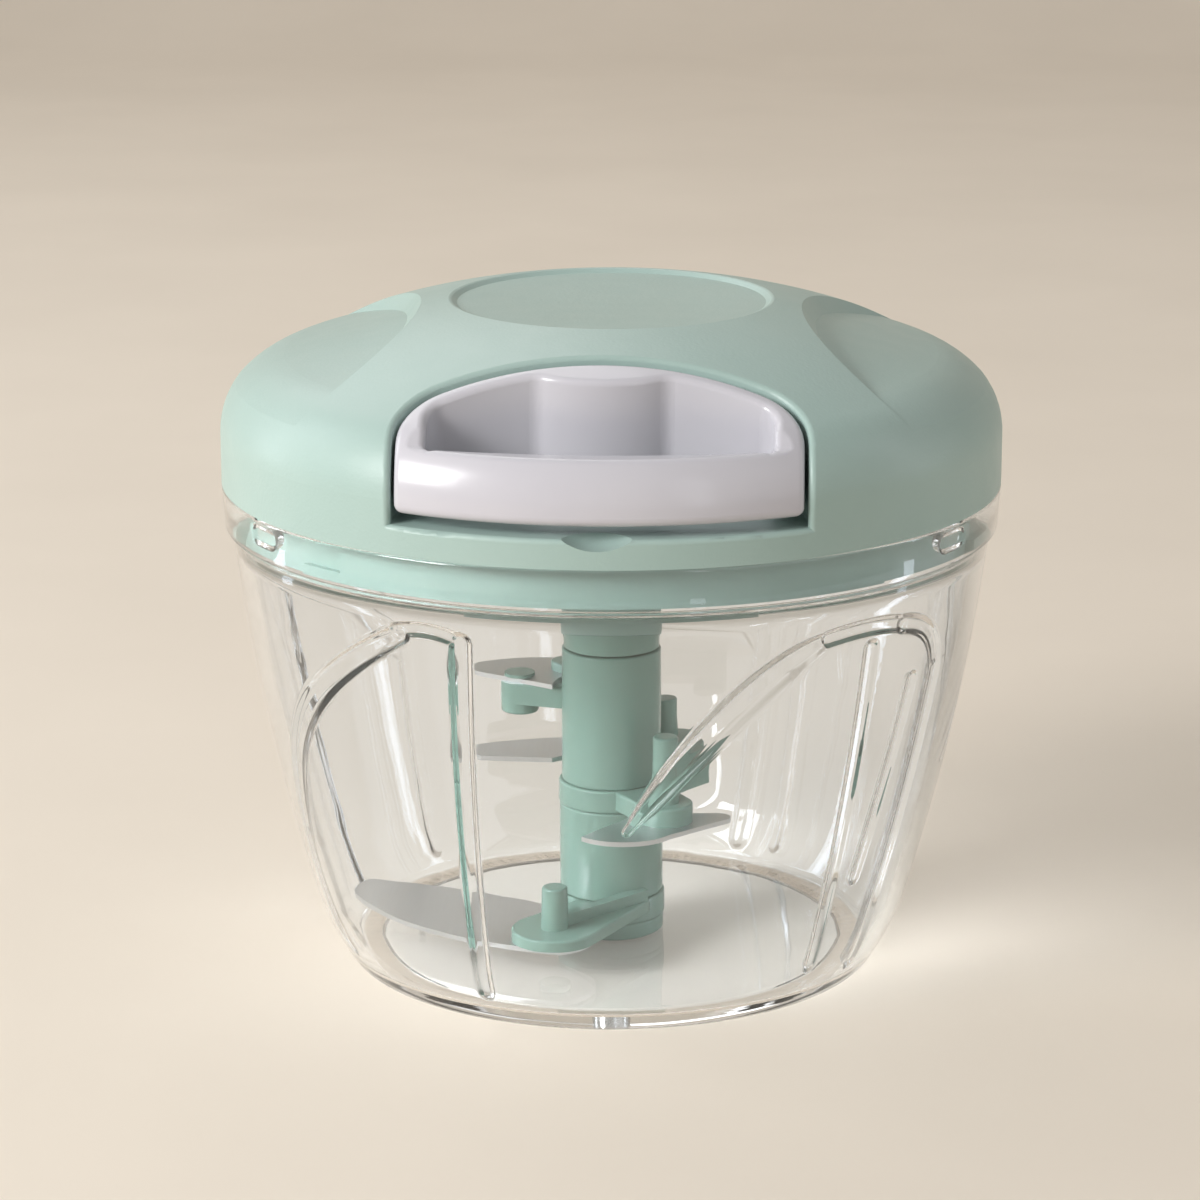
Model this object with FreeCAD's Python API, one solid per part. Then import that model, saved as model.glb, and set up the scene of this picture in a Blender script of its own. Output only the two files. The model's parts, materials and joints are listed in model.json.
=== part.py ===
import FreeCAD, Part

import math
import os

# Pull-string garlic chopper: clear bowl, green lid with a string reel inside, and a blade unit.
# Millimetres, +Z up, origin at the centre of the foot on the table, pull handle towards -Y.
# A bearing is an angle in plan from the front (-Y) towards +X, in degrees.

V = FreeCAD.Vector
UP = V(0, 0, 1)
AXIS_FOOT = V(0, 0, 0)

# Clearances
RUNNING = 0.06  # shaft in its bearing, each side
SLIP = 0.3  # pieces that move past each other
SEATED = 0.05  # pieces that stay put against each other

# Bowl
RIM_R = 65.0
BOWL_H = 82.3
FOOT_R = 44.6
BOWL_WALL = 2.4
RIM_WALL = 2.7
BAND_H = 7.1  # clear band round the lid skirt
BAND_STEP = 1.7  # the rim stands this much outside the wall under it
BAND_SLOPE_H = 1.2
RIM_ROUND = 0.6
FOOT_FLARE = 5.9  # how far the foot corner runs out
FOOT_CORNER_H = 12.0
WALL_ARC_R = 380.0
FOOT_RECESS = 0.8
FOOT_RING_W = 5.6
FLOOR_T = 2.2
RIB_H = 1.3
RIB_EMBED = 0.7
PIN_BOSS_R = 4.2

# Lugs of the bowl and lobes of the lid base
LUG_COUNT = 3
LUG_BEARING = 61.0
LUG_W = 8.0
LUG_H = 3.0
LUG_PROUD = 1.7
LUG_DROP = 3.2  # rim top to the lug's middle
LOCK_TURN = 14.0
LOBE_GAP = 25.5  # degrees open for each lug
LOBE_OFFSET = 3.0  # degrees from the middle of a gap to the lug that stands in it
LOBE_WALL = 3.5
LOBE_DEPTH = 6.6  # how far the lobes hang below the rim top
SKIRT_GAP = 0.7

# Lid cover
LID_H = 30.05  # rim top to the highest point of the lid
LID_WALL = 2.3
LID_EDGE_WALL = 3.1
SHOULDER_R = 12.7
SHOULDER_H = 8.55  # rim top to the shoulder arc's centre
SHOULDER_END = 26.6  # degrees of slope where the shoulder meets the crown
DISH_R = 25.6
DISH_LIP = 1.1
DISH_DEPTH = 0.7
DISH_SAG = 0.4
SCOOP_R = 91.0  # radius of the scoop's leaning wall at SCOOP_LEVEL
SCOOP_LEVEL = 24.7  # rim top to the height where that radius holds
SCOOP_LEAN = 0.8  # how far the wall leans back for each millimetre of its height
SCOOP_OUT = 61.0  # rim to the middle of the scoop's round edge
SCOOP_Y = -5.0
SCOOP_STEP = 2.3
SCOOP_LEAD = 5.0  # floor starts this far inside the round edge
SCOOP_RIM = 2.7  # rim radius less the scoop's outer edge
COVER_ROUND = 0.8
SCOOP_TURN_R = 16.0  # curve that brings the scoop's floor out to the shoulder
SCOOP_RUN_OUT = 4.0  # degrees between floor and skin where they meet

# Seal ring in the cover's lower edge
SEAL_W = 1.2
SEAL_T = 1.1
SEAL_INSET = 0.6

# Pull handle and its pocket in the cover
HANDLE_W = 63.4
HANDLE_BACK = 38.2
HANDLE_ARCH_R = 76.0  # bow of the handle's back edge in plan
HANDLE_CORNER_R = 10.0
HANDLE_GAP = 0.6
HANDLE_LIFT = 1.8  # slit under the handle
HANDLE_SINK = 0.3  # handle's outer skin under the lid's
LEDGE_H = 4.7  # rim top to the pocket's ledge
GRIP_BACK_WALL = 3.2
GRIP_SIDE_WALL = 4.7
GRIP_FRONT = 57.2
GRIP_FRONT_ARC_R = 120.0
GRIP_CORNER_R = 3.6
GRIP_FRONT_CORNER_R = 2.0
GRIP_BAR_TOP = 10.0  # height of the front bar
GRIP_ROUND = 1.2
HANDLE_ROUND = 1.5
BOSS_R = 21.3
BOSS_PROUD = 3.3
BOSS_FILLET_R = 4.0
POCKET_WALL = 2.2
NOTCH_R = 9.7
NOTCH_DEPTH = 1.8

# Cord
CORD_D = 1.6
CORD_TURNS = 3
CORD_PITCH = 2.1
EYELET_R = 3.4
EYELET_FLANGE_R = 4.6
EYELET_FLANGE_T = 1.0
EYELET_BORE_R = 1.5
CORD_BEND_R = 3.0
KNOT_R = 1.8
KNOT_ROOM = 0.3
KNOT_BACK = 3.2  # handle's back face to the knot's middle

# Reel
DRUM_R = 22.0
DRUM_WALL = 2.0
REEL_FLANGE_R = 29.5
REEL_FLANGE_T = 1.5
REEL_LIFT = 7.7  # rim top to the reel's lower face
REEL_BOSS_R = 5.5
REEL_BOSS_DROP = 1.6
REEL_COVER_T = 1.2
REEL_COVER_LIP = 2.0
ARBOR_R = 5.5
ARBOR_GAP = 0.6
AXLE_R = 2.5
AXLE_GRIP = 15.0
WASHER_R = 4.9
WASHER_T = 0.6
SCREW_HEAD_R = 2.8
SCREW_HEAD_H = 1.6
SCREW_CORE_R = 1.25
SCREW_L = 7.0

# Return spring, a flat spiral
STRIP_T = 0.4
STRIP_H = 8.0
STRIP_PITCH = 1.5
STRIP_TURNS = 8

# One-way clutch
TOOTH_COUNT = 12
TOOTH_W = 5.4
TOOTH_H = 2.2
TOOTH_SET = 0.45
TOOTH_IN_R = 13.6
CLUTCH_R = 19.0
CLUTCH_T = 2.5
KEY_COUNT = 4
KEY_W = 3.0
KEY_REACH = 2.0
CLUTCH_SPRING_R = 12.9
CLUTCH_SPRING_WIRE = 1.0
CLUTCH_SPRING_TURNS = 4

# Gear well of the lid base
WELL_R = 22.0
WELL_WALL = 2.0
WELL_DROP = 8.3  # rim top to the top of the well's floor
WELL_FLOOR_T = 2.0
BASE_PLATE_T = 2.0
COLLAR_R = 8.3
COLLAR_DROP = 15.0  # well floor to the collar's lower end

# Drive hub
HUB_SHAFT_R = 6.0
HUB_NECK_R = 4.0
HUB_NECK_FLAT = 3.2
HUB_FLANGE_R = 15.0
HUB_FLANGE_T = 2.0
HUB_CORE_R = 9.0
HUB_HOLLOW_R = 6.4
HUB_HOLLOW_DEPTH = 5.0
DOG_R = 8.15
DOG_TONGUE_R = 3.5
DOG_WING_R = 5.5
DOG_WING_W = 3.0
DOG_TONGUE_L = 7.0
DOG_BODY_H = 5.7

# Lid base screws
BASE_SCREW_RADIUS = 50.0
BASE_SCREW_BEARINGS = (75.0, 180.0, 285.0)
BASE_BOSS_R = 3.6
BASE_SCREW_L = 9.0
BASE_SCREW_HOLE_R = 1.6

# Blade unit
UNIT_BOTTOM = 2.9
PIVOT_R = 2.0
PIVOT_TOP = 16.0
CORE_R = 6.8
FOOT_PLATE_R = 8.9
FOOT_PLATE_T = 3.1
RING_LOW_T = 4.0
RING_R = 9.1
SLEEVE_LOW_R = 8.8
SLEEVE_LOW_L = 15.7
RING_MID_R = 8.95
RING_MID_T = 3.9
SLEEVE_TOP_R = 8.45
SOCKET_SWEEP = 42.0  # half sweep of each drive slot, degrees
SOCKET_CENTRE = -7.0
SOCKET_GAP = 0.4
BLADE_T = 0.8
PEG_R = 2.35
PEG_TAPER = 0.25
RIVET_HEAD_R = 2.6
RIVET_HEAD_T = 1.1
RIVET_STEM_R = 1.1
RIVET_STEM_L = 4.0
UNIT_ROUND = 0.4
UNIT_TURN = 2.0  # how far the unit stands turned at rest

# Heights and radii that follow
LID_TOP = BOWL_H + LID_H
SCOOP_OUTER_R = RIM_R - SCOOP_RIM
SCOOP_X = RIM_R + SCOOP_OUT
SCOOP_INNER_R = SCOOP_X - SCOOP_R - SCOOP_LEAD
REEL_BOTTOM = BOWL_H + REEL_LIFT
WELL_FLOOR = BOWL_H - WELL_DROP
COLLAR_BOTTOM = WELL_FLOOR - COLLAR_DROP
LEDGE_Z = BOWL_H + LEDGE_H
HANDLE_BOTTOM = LEDGE_Z + HANDLE_LIFT
BAND_BOTTOM = BOWL_H - BAND_H
WALL_TOP_Z = BAND_BOTTOM - BAND_SLOPE_H
WALL_TOP_R = RIM_R - BAND_STEP
BAND_IN_R = RIM_R - RIM_WALL
FLOOR_TOP = FOOT_RECESS + FLOOR_T
PLATE_BOTTOM = BOWL_H + SLIP
PLATE_TOP = PLATE_BOTTOM + BASE_PLATE_T
LOBE_R = BAND_IN_R - SKIRT_GAP
COVER_IN_R = RIM_R - LID_EDGE_WALL
PLATE_R = COVER_IN_R - SLIP
LUG_Z = BOWL_H - LUG_DROP
DRUM_LOW = REEL_BOTTOM + REEL_FLANGE_T
WINDING_H = CORD_TURNS * CORD_PITCH + CORD_D
DRUM_HIGH = DRUM_LOW + WINDING_H + 2 * SLIP
REEL_TOP = DRUM_HIGH + REEL_FLANGE_T
CORD_R = CORD_D / 2
CORD_LAY_R = DRUM_R + CORD_R + SEATED
CORD_LOW_Z = DRUM_LOW + SLIP + CORD_R
CORD_EXIT_Z = CORD_LOW_Z + CORD_TURNS * CORD_PITCH
POCKET_BACK = HANDLE_BACK - HANDLE_GAP
ARCH_Y = -HANDLE_BACK - HANDLE_ARCH_R
EYELET_Y = POCKET_BACK - POCKET_WALL
AXLE_LOW = REEL_BOTTOM - REEL_BOSS_DROP - SLIP
ARBOR_LOW = DRUM_LOW + SLIP
HUB_BOTTOM = WELL_FLOOR + SLIP
HUB_FLANGE_TOP = HUB_BOTTOM + HUB_FLANGE_T
CLUTCH_ROOT = REEL_BOTTOM - TOOTH_H - SLIP
CLUTCH_LOW = CLUTCH_ROOT - CLUTCH_T
HUB_TOP = CLUTCH_ROOT
HUB_KEY_R = HUB_CORE_R + KEY_REACH
DOG_TOP = COLLAR_BOTTOM - SLIP
DOG_LOW = DOG_TOP - DOG_BODY_H
UNIT_TOP = DOG_LOW - SLIP
TONGUE_LOW = DOG_LOW - DOG_TONGUE_L
RING_LOW_Z = UNIT_BOTTOM + FOOT_PLATE_T
RING_LOW_TOP = RING_LOW_Z + RING_LOW_T
RING_MID_Z = RING_LOW_TOP + SLEEVE_LOW_L
RING_MID_TOP = RING_MID_Z + RING_MID_T
SLEEVE_BORE_R = CORE_R + SEATED
SOCKET_LOW = TONGUE_LOW - 1.0


def at(radius, bearing, z=0.0):
    """Point at a radius and a bearing."""
    a = math.radians(bearing)
    return V(radius * math.sin(a), -radius * math.cos(a), z)


def rz(r, z):
    """Point in the half plane that profiles are drawn in."""
    return V(r, 0, z)


def segment(p, q):
    return Part.LineSegment(p, q).toShape()


def arc(p, middle, q):
    return Part.Arc(p, middle, q).toShape()


def face_of(edges):
    return Part.Face(Part.Wire(edges))


def outline(points):
    """Face inside straight lines through the points."""
    return Part.Face(Part.makePolygon(list(points) + [points[0]]))


def turned(face):
    """Solid of a profile in the XZ plane turned about the axis."""
    return face.revolve(AXIS_FOOT, UP, 360)


def tube(outer, inner, z0, z1):
    body = disc(outer, z0, z1)
    return body.cut(disc(inner, z0 - 1, z1 + 1))


def disc(radius, z0, z1, x=0.0, y=0.0):
    return Part.makeCylinder(radius, z1 - z0, V(x, y, z0))


def block(x0, x1, y0, y1, z0, z1):
    return Part.makeBox(x1 - x0, y1 - y0, z1 - z0, V(x0, y0, z0))


def spun(shape, degrees):
    """Copy turned about the main axis."""
    copy = shape.copy()
    copy.rotate(AXIS_FOOT, UP, degrees)
    return copy


def around(shape, count):
    return [spun(shape, 360.0 * i / count) for i in range(count)]


def wedge(radius, z0, z1, centre, half):
    """Pie slice between two bearings, for cuts that stay inside the radius."""
    reach = radius / math.cos(math.radians(half))
    corners = [V(0, 0, z0), at(reach, centre - half, z0), at(reach * 1.2, centre, z0), at(reach, centre + half, z0)]
    slice_ = outline(corners).extrude(V(0, 0, z1 - z0))
    return slice_.common(disc(radius, z0, z1))


class Circle:
    """Circle in the profile plane, for arcs and their offsets."""

    def __init__(self, r, z, radius):
        self.r = r
        self.z = z
        self.radius = radius

    def point(self, angle, grow=0.0):
        reach = self.radius + grow
        return rz(self.r + reach * math.cos(angle), self.z + reach * math.sin(angle))

    def angle_of(self, p):
        return math.atan2(p.z - self.z, p.x - self.r)

    def angle_at_height(self, z, grow=0.0):
        return math.asin((z - self.z) / (self.radius + grow))

    def piece(self, a0, a1, grow=0.0):
        return arc(self.point(a0, grow), self.point((a0 + a1) / 2, grow), self.point(a1, grow))


def circle_through(p, q, radius):
    """Circle of a radius through two points, centred on the axis side."""
    chord = q.sub(p)
    middle = p.add(q).multiply(0.5)
    reach = math.sqrt(radius ** 2 - (chord.Length / 2) ** 2)
    side = V(-chord.z, 0, chord.x).normalize()
    centre = middle.add(side.multiply(reach))
    return Circle(centre.x, centre.z, radius)


def tangent_circle(p, inward, q):
    """Circle through p with its centre along inward, and through q."""
    d = q.sub(p)
    radius = d.Length ** 2 / (2 * d.dot(inward))
    centre = p.add(V(inward).multiply(radius))
    return Circle(centre.x, centre.z, radius)


WALL_LOW = rz(FOOT_R + FOOT_FLARE, FOOT_CORNER_H)
WALL_TOP = rz(WALL_TOP_R, WALL_TOP_Z)
WALL = circle_through(WALL_LOW, WALL_TOP, WALL_ARC_R)
WALL_INWARD = rz(WALL.r, WALL.z).sub(WALL_LOW).normalize()
CORNER = tangent_circle(WALL_LOW, WALL_INWARD, rz(FOOT_R, 0))


def wall_radius(z):
    """Outer radius of the bowl wall at a height."""
    ring = WALL if z > FOOT_CORNER_H else CORNER
    return ring.point(ring.angle_at_height(z)).x


def bowl_body():
    """Foot ring, floor, wall and the stepped band at the rim."""
    low_a = WALL.angle_of(WALL_LOW)
    top_a = WALL.angle_of(WALL_TOP)
    ledge_a = WALL.angle_at_height(BAND_BOTTOM, -BOWL_WALL)
    foot_a = CORNER.angle_of(rz(FOOT_R, 0))
    floor_a = CORNER.angle_at_height(FLOOR_TOP, -BOWL_WALL)
    corner_a = CORNER.angle_of(WALL_LOW)
    foot_in = FOOT_R - FOOT_RING_W
    ledge = WALL.point(ledge_a, -BOWL_WALL)
    floor_edge = CORNER.point(floor_a, -BOWL_WALL)
    band_foot = rz(RIM_R - RIM_ROUND, BAND_BOTTOM)
    rim_side = rz(RIM_R, BOWL_H - RIM_ROUND)
    rim_top = rz(RIM_R - RIM_ROUND, BOWL_H)
    bend = RIM_ROUND * (1 - math.sqrt(0.5))
    rim_mid = rz(RIM_R - bend, BOWL_H - bend)
    edges = [
        segment(rz(0, FOOT_RECESS), rz(foot_in, FOOT_RECESS)),
        segment(rz(foot_in, FOOT_RECESS), rz(foot_in, 0)),
        segment(rz(foot_in, 0), rz(FOOT_R, 0)),
        CORNER.piece(foot_a, corner_a),
        WALL.piece(low_a, top_a),
        segment(WALL_TOP, band_foot),
        segment(band_foot, rim_side),
        arc(rim_side, rim_mid, rim_top),
        segment(rim_top, rz(BAND_IN_R, BOWL_H)),
        segment(rz(BAND_IN_R, BOWL_H), rz(BAND_IN_R, BAND_BOTTOM)),
        segment(rz(BAND_IN_R, BAND_BOTTOM), ledge),
        WALL.piece(ledge_a, low_a, -BOWL_WALL),
        CORNER.piece(corner_a, floor_a, -BOWL_WALL),
        segment(floor_edge, rz(0, FLOOR_TOP)),
        segment(rz(0, FLOOR_TOP), rz(0, FOOT_RECESS)),
    ]
    return turned(face_of(edges))


def rib_skin():
    """Thin layer on the inner wall that the ribs are cut from."""
    top_a = WALL.angle_at_height(BAND_BOTTOM - 2.5, -BOWL_WALL)
    low_a = WALL.angle_of(WALL_LOW)
    foot_a = CORNER.angle_at_height(FLOOR_TOP + 0.6, -BOWL_WALL)
    corner_a = CORNER.angle_of(WALL_LOW)
    deep = RIB_EMBED - BOWL_WALL
    proud = -RIB_H - BOWL_WALL
    edges = [
        CORNER.piece(foot_a, corner_a, deep),
        WALL.piece(low_a, top_a, deep),
        segment(WALL.point(top_a, deep), WALL.point(top_a, proud)),
        WALL.piece(top_a, low_a, proud),
        CORNER.piece(corner_a, foot_a, proud),
        segment(CORNER.point(foot_a, proud), CORNER.point(foot_a, deep)),
    ]
    return turned(face_of(edges))


class RibPlane:
    """Flat drawing of one rib, square to a bearing, pushed outwards through the wall."""

    def __init__(self, bearing):
        self.bearing = bearing

    def point(self, bearing, z):
        side = (wall_radius(z) - BOWL_WALL) * math.sin(math.radians(bearing - self.bearing))
        return V(side, -20, z)

    def prism(self, face):
        solid = face.extrude(V(0, -60, 0))
        solid.rotate(AXIS_FOOT, UP, self.bearing)
        return solid


# Straight ribs: bearing at the top, bearing at the foot, top height, foot height, width
STRAIGHT_RIBS = (
    (-20.7, -23.9, 68.5, 6.3, 2.0),
    (44.7, 44.7, 64.6, 8.4, 1.5),
    (62.8, 59.2, 57.0, 6.3, 2.4),
    (56.0, 51.2, 57.0, 23.0, 1.4),
    (144.0, 141.0, 62.0, 6.0, 1.6),
    (151.0, 151.0, 60.0, 6.0, 4.0),
    (224.0, 227.0, 64.0, 6.0, 2.0),
    (258.0, 258.0, 60.0, 6.0, 1.6),
)
# Swept ribs: bearing of the top end
SWEPT_TOPS = (37.0, 110.5, 184.0, 257.0)
SWEPT_RUN = 32.5
SWEPT_TOP_Z = 68.0
SWEPT_LOW_Z = 37.4
SWEPT_BOW = (14.5, 60.0)  # bearing back from the top, and height, of the upper line's middle
SWEPT_THICK = 3.2
# The big bow at the left of the front panel: points down its middle, bearing and height
BOW_UPPER = ((-32.0, 68.2), (-55.7, 47.0), (-68.0, 24.0))
BOW_LOWER = ((-68.0, 24.0), (-67.6, 14.0), (-63.6, 6.6))
BOW_W = 3.4
PANEL_TOPS = ((-31.5, -22.0, 69.6), (37.0, 51.6, 67.2))
PANEL_TOP_W = 1.3
PANEL_CORNER = ((51.6, 67.2), (59.0, 64.0), (62.8, 57.0))


def straight_rib(top_bearing, foot_bearing, z_top, z_foot, width):
    plane = RibPlane((top_bearing + foot_bearing) / 2)
    top = plane.point(top_bearing, z_top)
    foot = plane.point(foot_bearing, z_foot)
    side = V(width / 2, 0, 0)
    return plane.prism(outline([top.add(side), top.sub(side), foot.sub(side), foot.add(side)]))


def band(plane, points, width):
    """Bent strip of one width along an arc through three points."""
    p, m, q = [plane.point(*each) for each in points]
    centre = Part.Circle(p, m, q).Center
    inner = []
    outer = []
    for each in (p, m, q):
        out = each.sub(centre).normalize().multiply(width / 2)
        inner.append(each.sub(out))
        outer.append(each.add(out))
    edges = [
        arc(*outer),
        segment(outer[2], inner[2]),
        arc(*reversed(inner)),
        segment(inner[0], outer[0]),
    ]
    return plane.prism(face_of(edges))


def swept_rib(top_bearing):
    """Leaf with a sharp lower tip, running down against the bearing."""
    plane = RibPlane(top_bearing - SWEPT_RUN / 2)
    top = plane.point(top_bearing, SWEPT_TOP_Z)
    tip = plane.point(top_bearing - SWEPT_RUN, SWEPT_LOW_Z)
    upper = plane.point(top_bearing - SWEPT_BOW[0], SWEPT_BOW[1])
    across = V(tip.z - top.z, 0, top.x - tip.x).normalize().multiply(SWEPT_THICK)
    lower = upper.add(across if across.z < 0 else across.multiply(-1))
    return plane.prism(face_of([arc(tip, upper, top), arc(top, lower, tip)]))


def bowl_ribs():
    shapes = [straight_rib(*each) for each in STRAIGHT_RIBS]
    shapes += [swept_rib(each) for each in SWEPT_TOPS]
    plane = RibPlane(BOW_UPPER[1][0])
    shapes.append(band(plane, BOW_UPPER, BOW_W))
    shapes.append(band(plane, BOW_LOWER, BOW_W))
    for start, end, z in PANEL_TOPS:
        middle = (start + end) / 2
        shapes.append(band(RibPlane(middle), ((start, z), (middle, z + 0.4), (end, z)), PANEL_TOP_W))
    shapes.append(band(RibPlane(PANEL_CORNER[1][0]), PANEL_CORNER, PANEL_TOP_W))
    skin = rib_skin()
    return [skin.common(each) for each in shapes]


def lug():
    """Oval stud inside the rim band that holds a lid lobe."""
    tip = BAND_IN_R - LUG_PROUD
    depth = LUG_PROUD + RIM_WALL / 2
    r = LUG_H / 2
    half = LUG_W / 2 - r
    ends = [V(-half, -tip, LUG_Z - r), V(half, -tip, LUG_Z - r), V(half, -tip, LUG_Z + r), V(-half, -tip, LUG_Z + r)]
    edges = [
        segment(ends[0], ends[1]),
        arc(ends[1], V(half + r, -tip, LUG_Z), ends[2]),
        segment(ends[2], ends[3]),
        arc(ends[3], V(-half - r, -tip, LUG_Z), ends[0]),
    ]
    return spun(face_of(edges).extrude(V(0, -depth, 0)), LUG_BEARING)


def bowl():
    body = bowl_body()
    body = body.fuse(bowl_ribs() + around(lug(), LUG_COUNT))
    body = body.fuse(disc(PIN_BOSS_R, FOOT_RECESS, FLOOR_TOP - SLIP))
    socket = disc(PIVOT_R + SEATED, FOOT_RECESS + 0.6, PIVOT_TOP)
    return body.cut(socket).removeSplitter()


def pivot_pin():
    pin = disc(PIVOT_R, FOOT_RECESS + 0.6, PIVOT_TOP)
    return pin.makeChamfer(0.5, [pin.Edges[0]])


SHOULDER = Circle(RIM_R - SHOULDER_R, BOWL_H + SHOULDER_H, SHOULDER_R)
CROWN_START = SHOULDER.point(math.radians(90 - SHOULDER_END))
CROWN_IN = rz(SHOULDER.r, SHOULDER.z).sub(CROWN_START).normalize()
CROWN = tangent_circle(CROWN_START, CROWN_IN, rz(DISH_R + DISH_LIP, LID_TOP))


def dome_edges(grow, lip_r):
    """Side, shoulder and crown of the lid, grown outwards by a distance."""
    side = rz(RIM_R + grow, SHOULDER.z)
    turn = math.radians(90 - SHOULDER_END)
    lip_a = math.acos((lip_r - CROWN.r) / (CROWN.radius + grow))
    start_a = CROWN.angle_of(CROWN_START)
    edges = [
        segment(rz(RIM_R + grow, BOWL_H), side),
        SHOULDER.piece(0, turn, grow),
        CROWN.piece(start_a, lip_a, grow),
    ]
    return edges, CROWN.point(lip_a, grow)


def dome(grow):
    """Solid under the lid's outer skin, grown outwards by a distance, with a flat middle."""
    edges, lip = dome_edges(grow, DISH_R + DISH_LIP)
    edges.append(segment(lip, rz(0, lip.z)))
    edges.append(segment(rz(0, lip.z), rz(0, BOWL_H)))
    edges.append(segment(rz(0, BOWL_H), rz(RIM_R + grow, BOWL_H)))
    return turned(face_of(edges))


def dish():
    """Shallow round dish cut in the crown."""
    edge_z = LID_TOP - DISH_DEPTH
    ball_r = (DISH_R ** 2 + DISH_SAG ** 2) / (2 * DISH_SAG)
    lens = Part.makeSphere(ball_r, V(0, 0, edge_z - DISH_SAG + ball_r)).common(disc(DISH_R, edge_z - 1, edge_z + 0.5))
    edges = [
        segment(rz(DISH_R + DISH_LIP, LID_TOP + 1), rz(DISH_R + DISH_LIP, LID_TOP)),
        segment(rz(DISH_R + DISH_LIP, LID_TOP), rz(DISH_R, edge_z)),
        segment(rz(DISH_R, edge_z), rz(0, edge_z)),
        segment(rz(0, edge_z), rz(0, LID_TOP + 1)),
        segment(rz(0, LID_TOP + 1), rz(DISH_R + DISH_LIP, LID_TOP + 1)),
    ]
    return turned(face_of(edges)).fuse(lens)


def skin_height(r):
    """Height of the lid's outer skin at a radius."""
    if r > CROWN_START.x:
        return SHOULDER.z + math.sqrt(SHOULDER.radius ** 2 - (r - SHOULDER.r) ** 2)
    return CROWN.z + math.sqrt(CROWN.radius ** 2 - (r - CROWN.r) ** 2)


def scoop(sink, grow):
    """Grip scoop on the +X side: everything above its sloping floor, inside its round edge."""
    inner = rz(SCOOP_INNER_R, skin_height(SCOOP_INNER_R) - SCOOP_STEP - sink)
    outer = rz(SCOOP_OUTER_R, skin_height(SCOOP_OUTER_R) - sink)
    lean = math.asin((SCOOP_OUTER_R - SHOULDER.r) / SHOULDER.radius) - math.radians(SCOOP_RUN_OUT)
    centre = outer.sub(rz(SCOOP_TURN_R * math.sin(lean), SCOOP_TURN_R * math.cos(lean)))
    span = centre.sub(inner)
    fall = math.asin(SCOOP_TURN_R / span.Length) + math.atan2(span.z, span.x)
    floor = Circle(centre.x, centre.z, SCOOP_TURN_R)
    flat_end = math.pi / 2 + fall
    run_end = math.pi / 2 - lean - math.radians(20)
    beyond = floor.point(run_end, 0)
    above = LID_TOP + 5
    edges = [
        segment(inner, floor.point(flat_end, 0)),
        floor.piece(run_end, flat_end, 0),
        segment(beyond, rz(beyond.x + 8, beyond.z)),
        segment(rz(beyond.x + 8, beyond.z), rz(beyond.x + 8, above)),
        segment(rz(beyond.x + 8, above), rz(inner.x, above)),
        segment(rz(inner.x, above), inner),
    ]
    ring = turned(face_of(edges))
    low_r = SCOOP_R + grow + (SHOULDER.z + sink - BOWL_H - SCOOP_LEVEL) * SCOOP_LEAN
    rise = above + 1 - SHOULDER.z
    wall = Part.makeCone(low_r, low_r + rise * SCOOP_LEAN, rise, V(SCOOP_X, SCOOP_Y, SHOULDER.z))
    return ring.common(wall)


def upright_edges(shape, y):
    """Vertical edges that stand at one y."""
    out = []
    for edge in shape.Edges:
        ends = [v.Point for v in edge.Vertexes]
        straight_up = len(ends) == 2 and abs(ends[0].x - ends[1].x) < 1e-6 and abs(ends[0].z - ends[1].z) > 1
        if straight_up and abs(ends[0].y - y) < 1e-6 and abs(ends[1].y - y) < 1e-6:
            out.append(edge)
    return out


def mirrored(shape):
    return shape.mirror(AXIS_FOOT, V(1, 0, 0))


def arch_back(grow, x):
    """Where the handle's bowed back edge, grown by a distance, is at a distance from the middle."""
    return ARCH_Y + math.sqrt((HANDLE_ARCH_R + grow) ** 2 - x ** 2)


def handle_plan(grow, z0, z1):
    """Block on the handle's outline, grown by a distance, its back bowed and its back corners round."""
    half = HANDLE_W / 2 + grow
    body = block(-half, half, -RIM_R - 20, -HANDLE_BACK + grow, z0, z1)
    body = body.common(disc(HANDLE_ARCH_R + grow, z0, z1, 0, ARCH_Y))
    return body.makeFillet(HANDLE_CORNER_R + grow, upright_edges(body, arch_back(grow, half)))


def base_boss(bearing):
    p = at(BASE_SCREW_RADIUS, bearing)
    boss = disc(BASE_BOSS_R, PLATE_TOP, LID_TOP, p.x, p.y)
    return boss


def skin_edges(shape, tool):
    """Edges that a tool has left in the lid's outer skin."""
    skin = dome(0).Shells[0]
    out = []
    for edge in shape.Edges:
        middle = Part.Vertex(edge.valueAt((edge.FirstParameter + edge.LastParameter) / 2))
        if tool.Shells[0].distToShape(middle)[0] < 1e-4 and skin.distToShape(middle)[0] < 1e-4:
            out.append(edge)
    return out


def cover_outside():
    """Solid on the cover's outer skin with dish, pocket and scoops, the first two with round rims."""
    body = dome(0)
    for tool in [dish(), handle_plan(HANDLE_GAP, LEDGE_Z, LID_TOP + 5)]:
        body = body.cut(tool)
        body = body.makeFillet(COVER_ROUND, skin_edges(body, tool))
    grip = scoop(0, 0)
    return body.cut(grip).cut(mirrored(grip))


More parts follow.
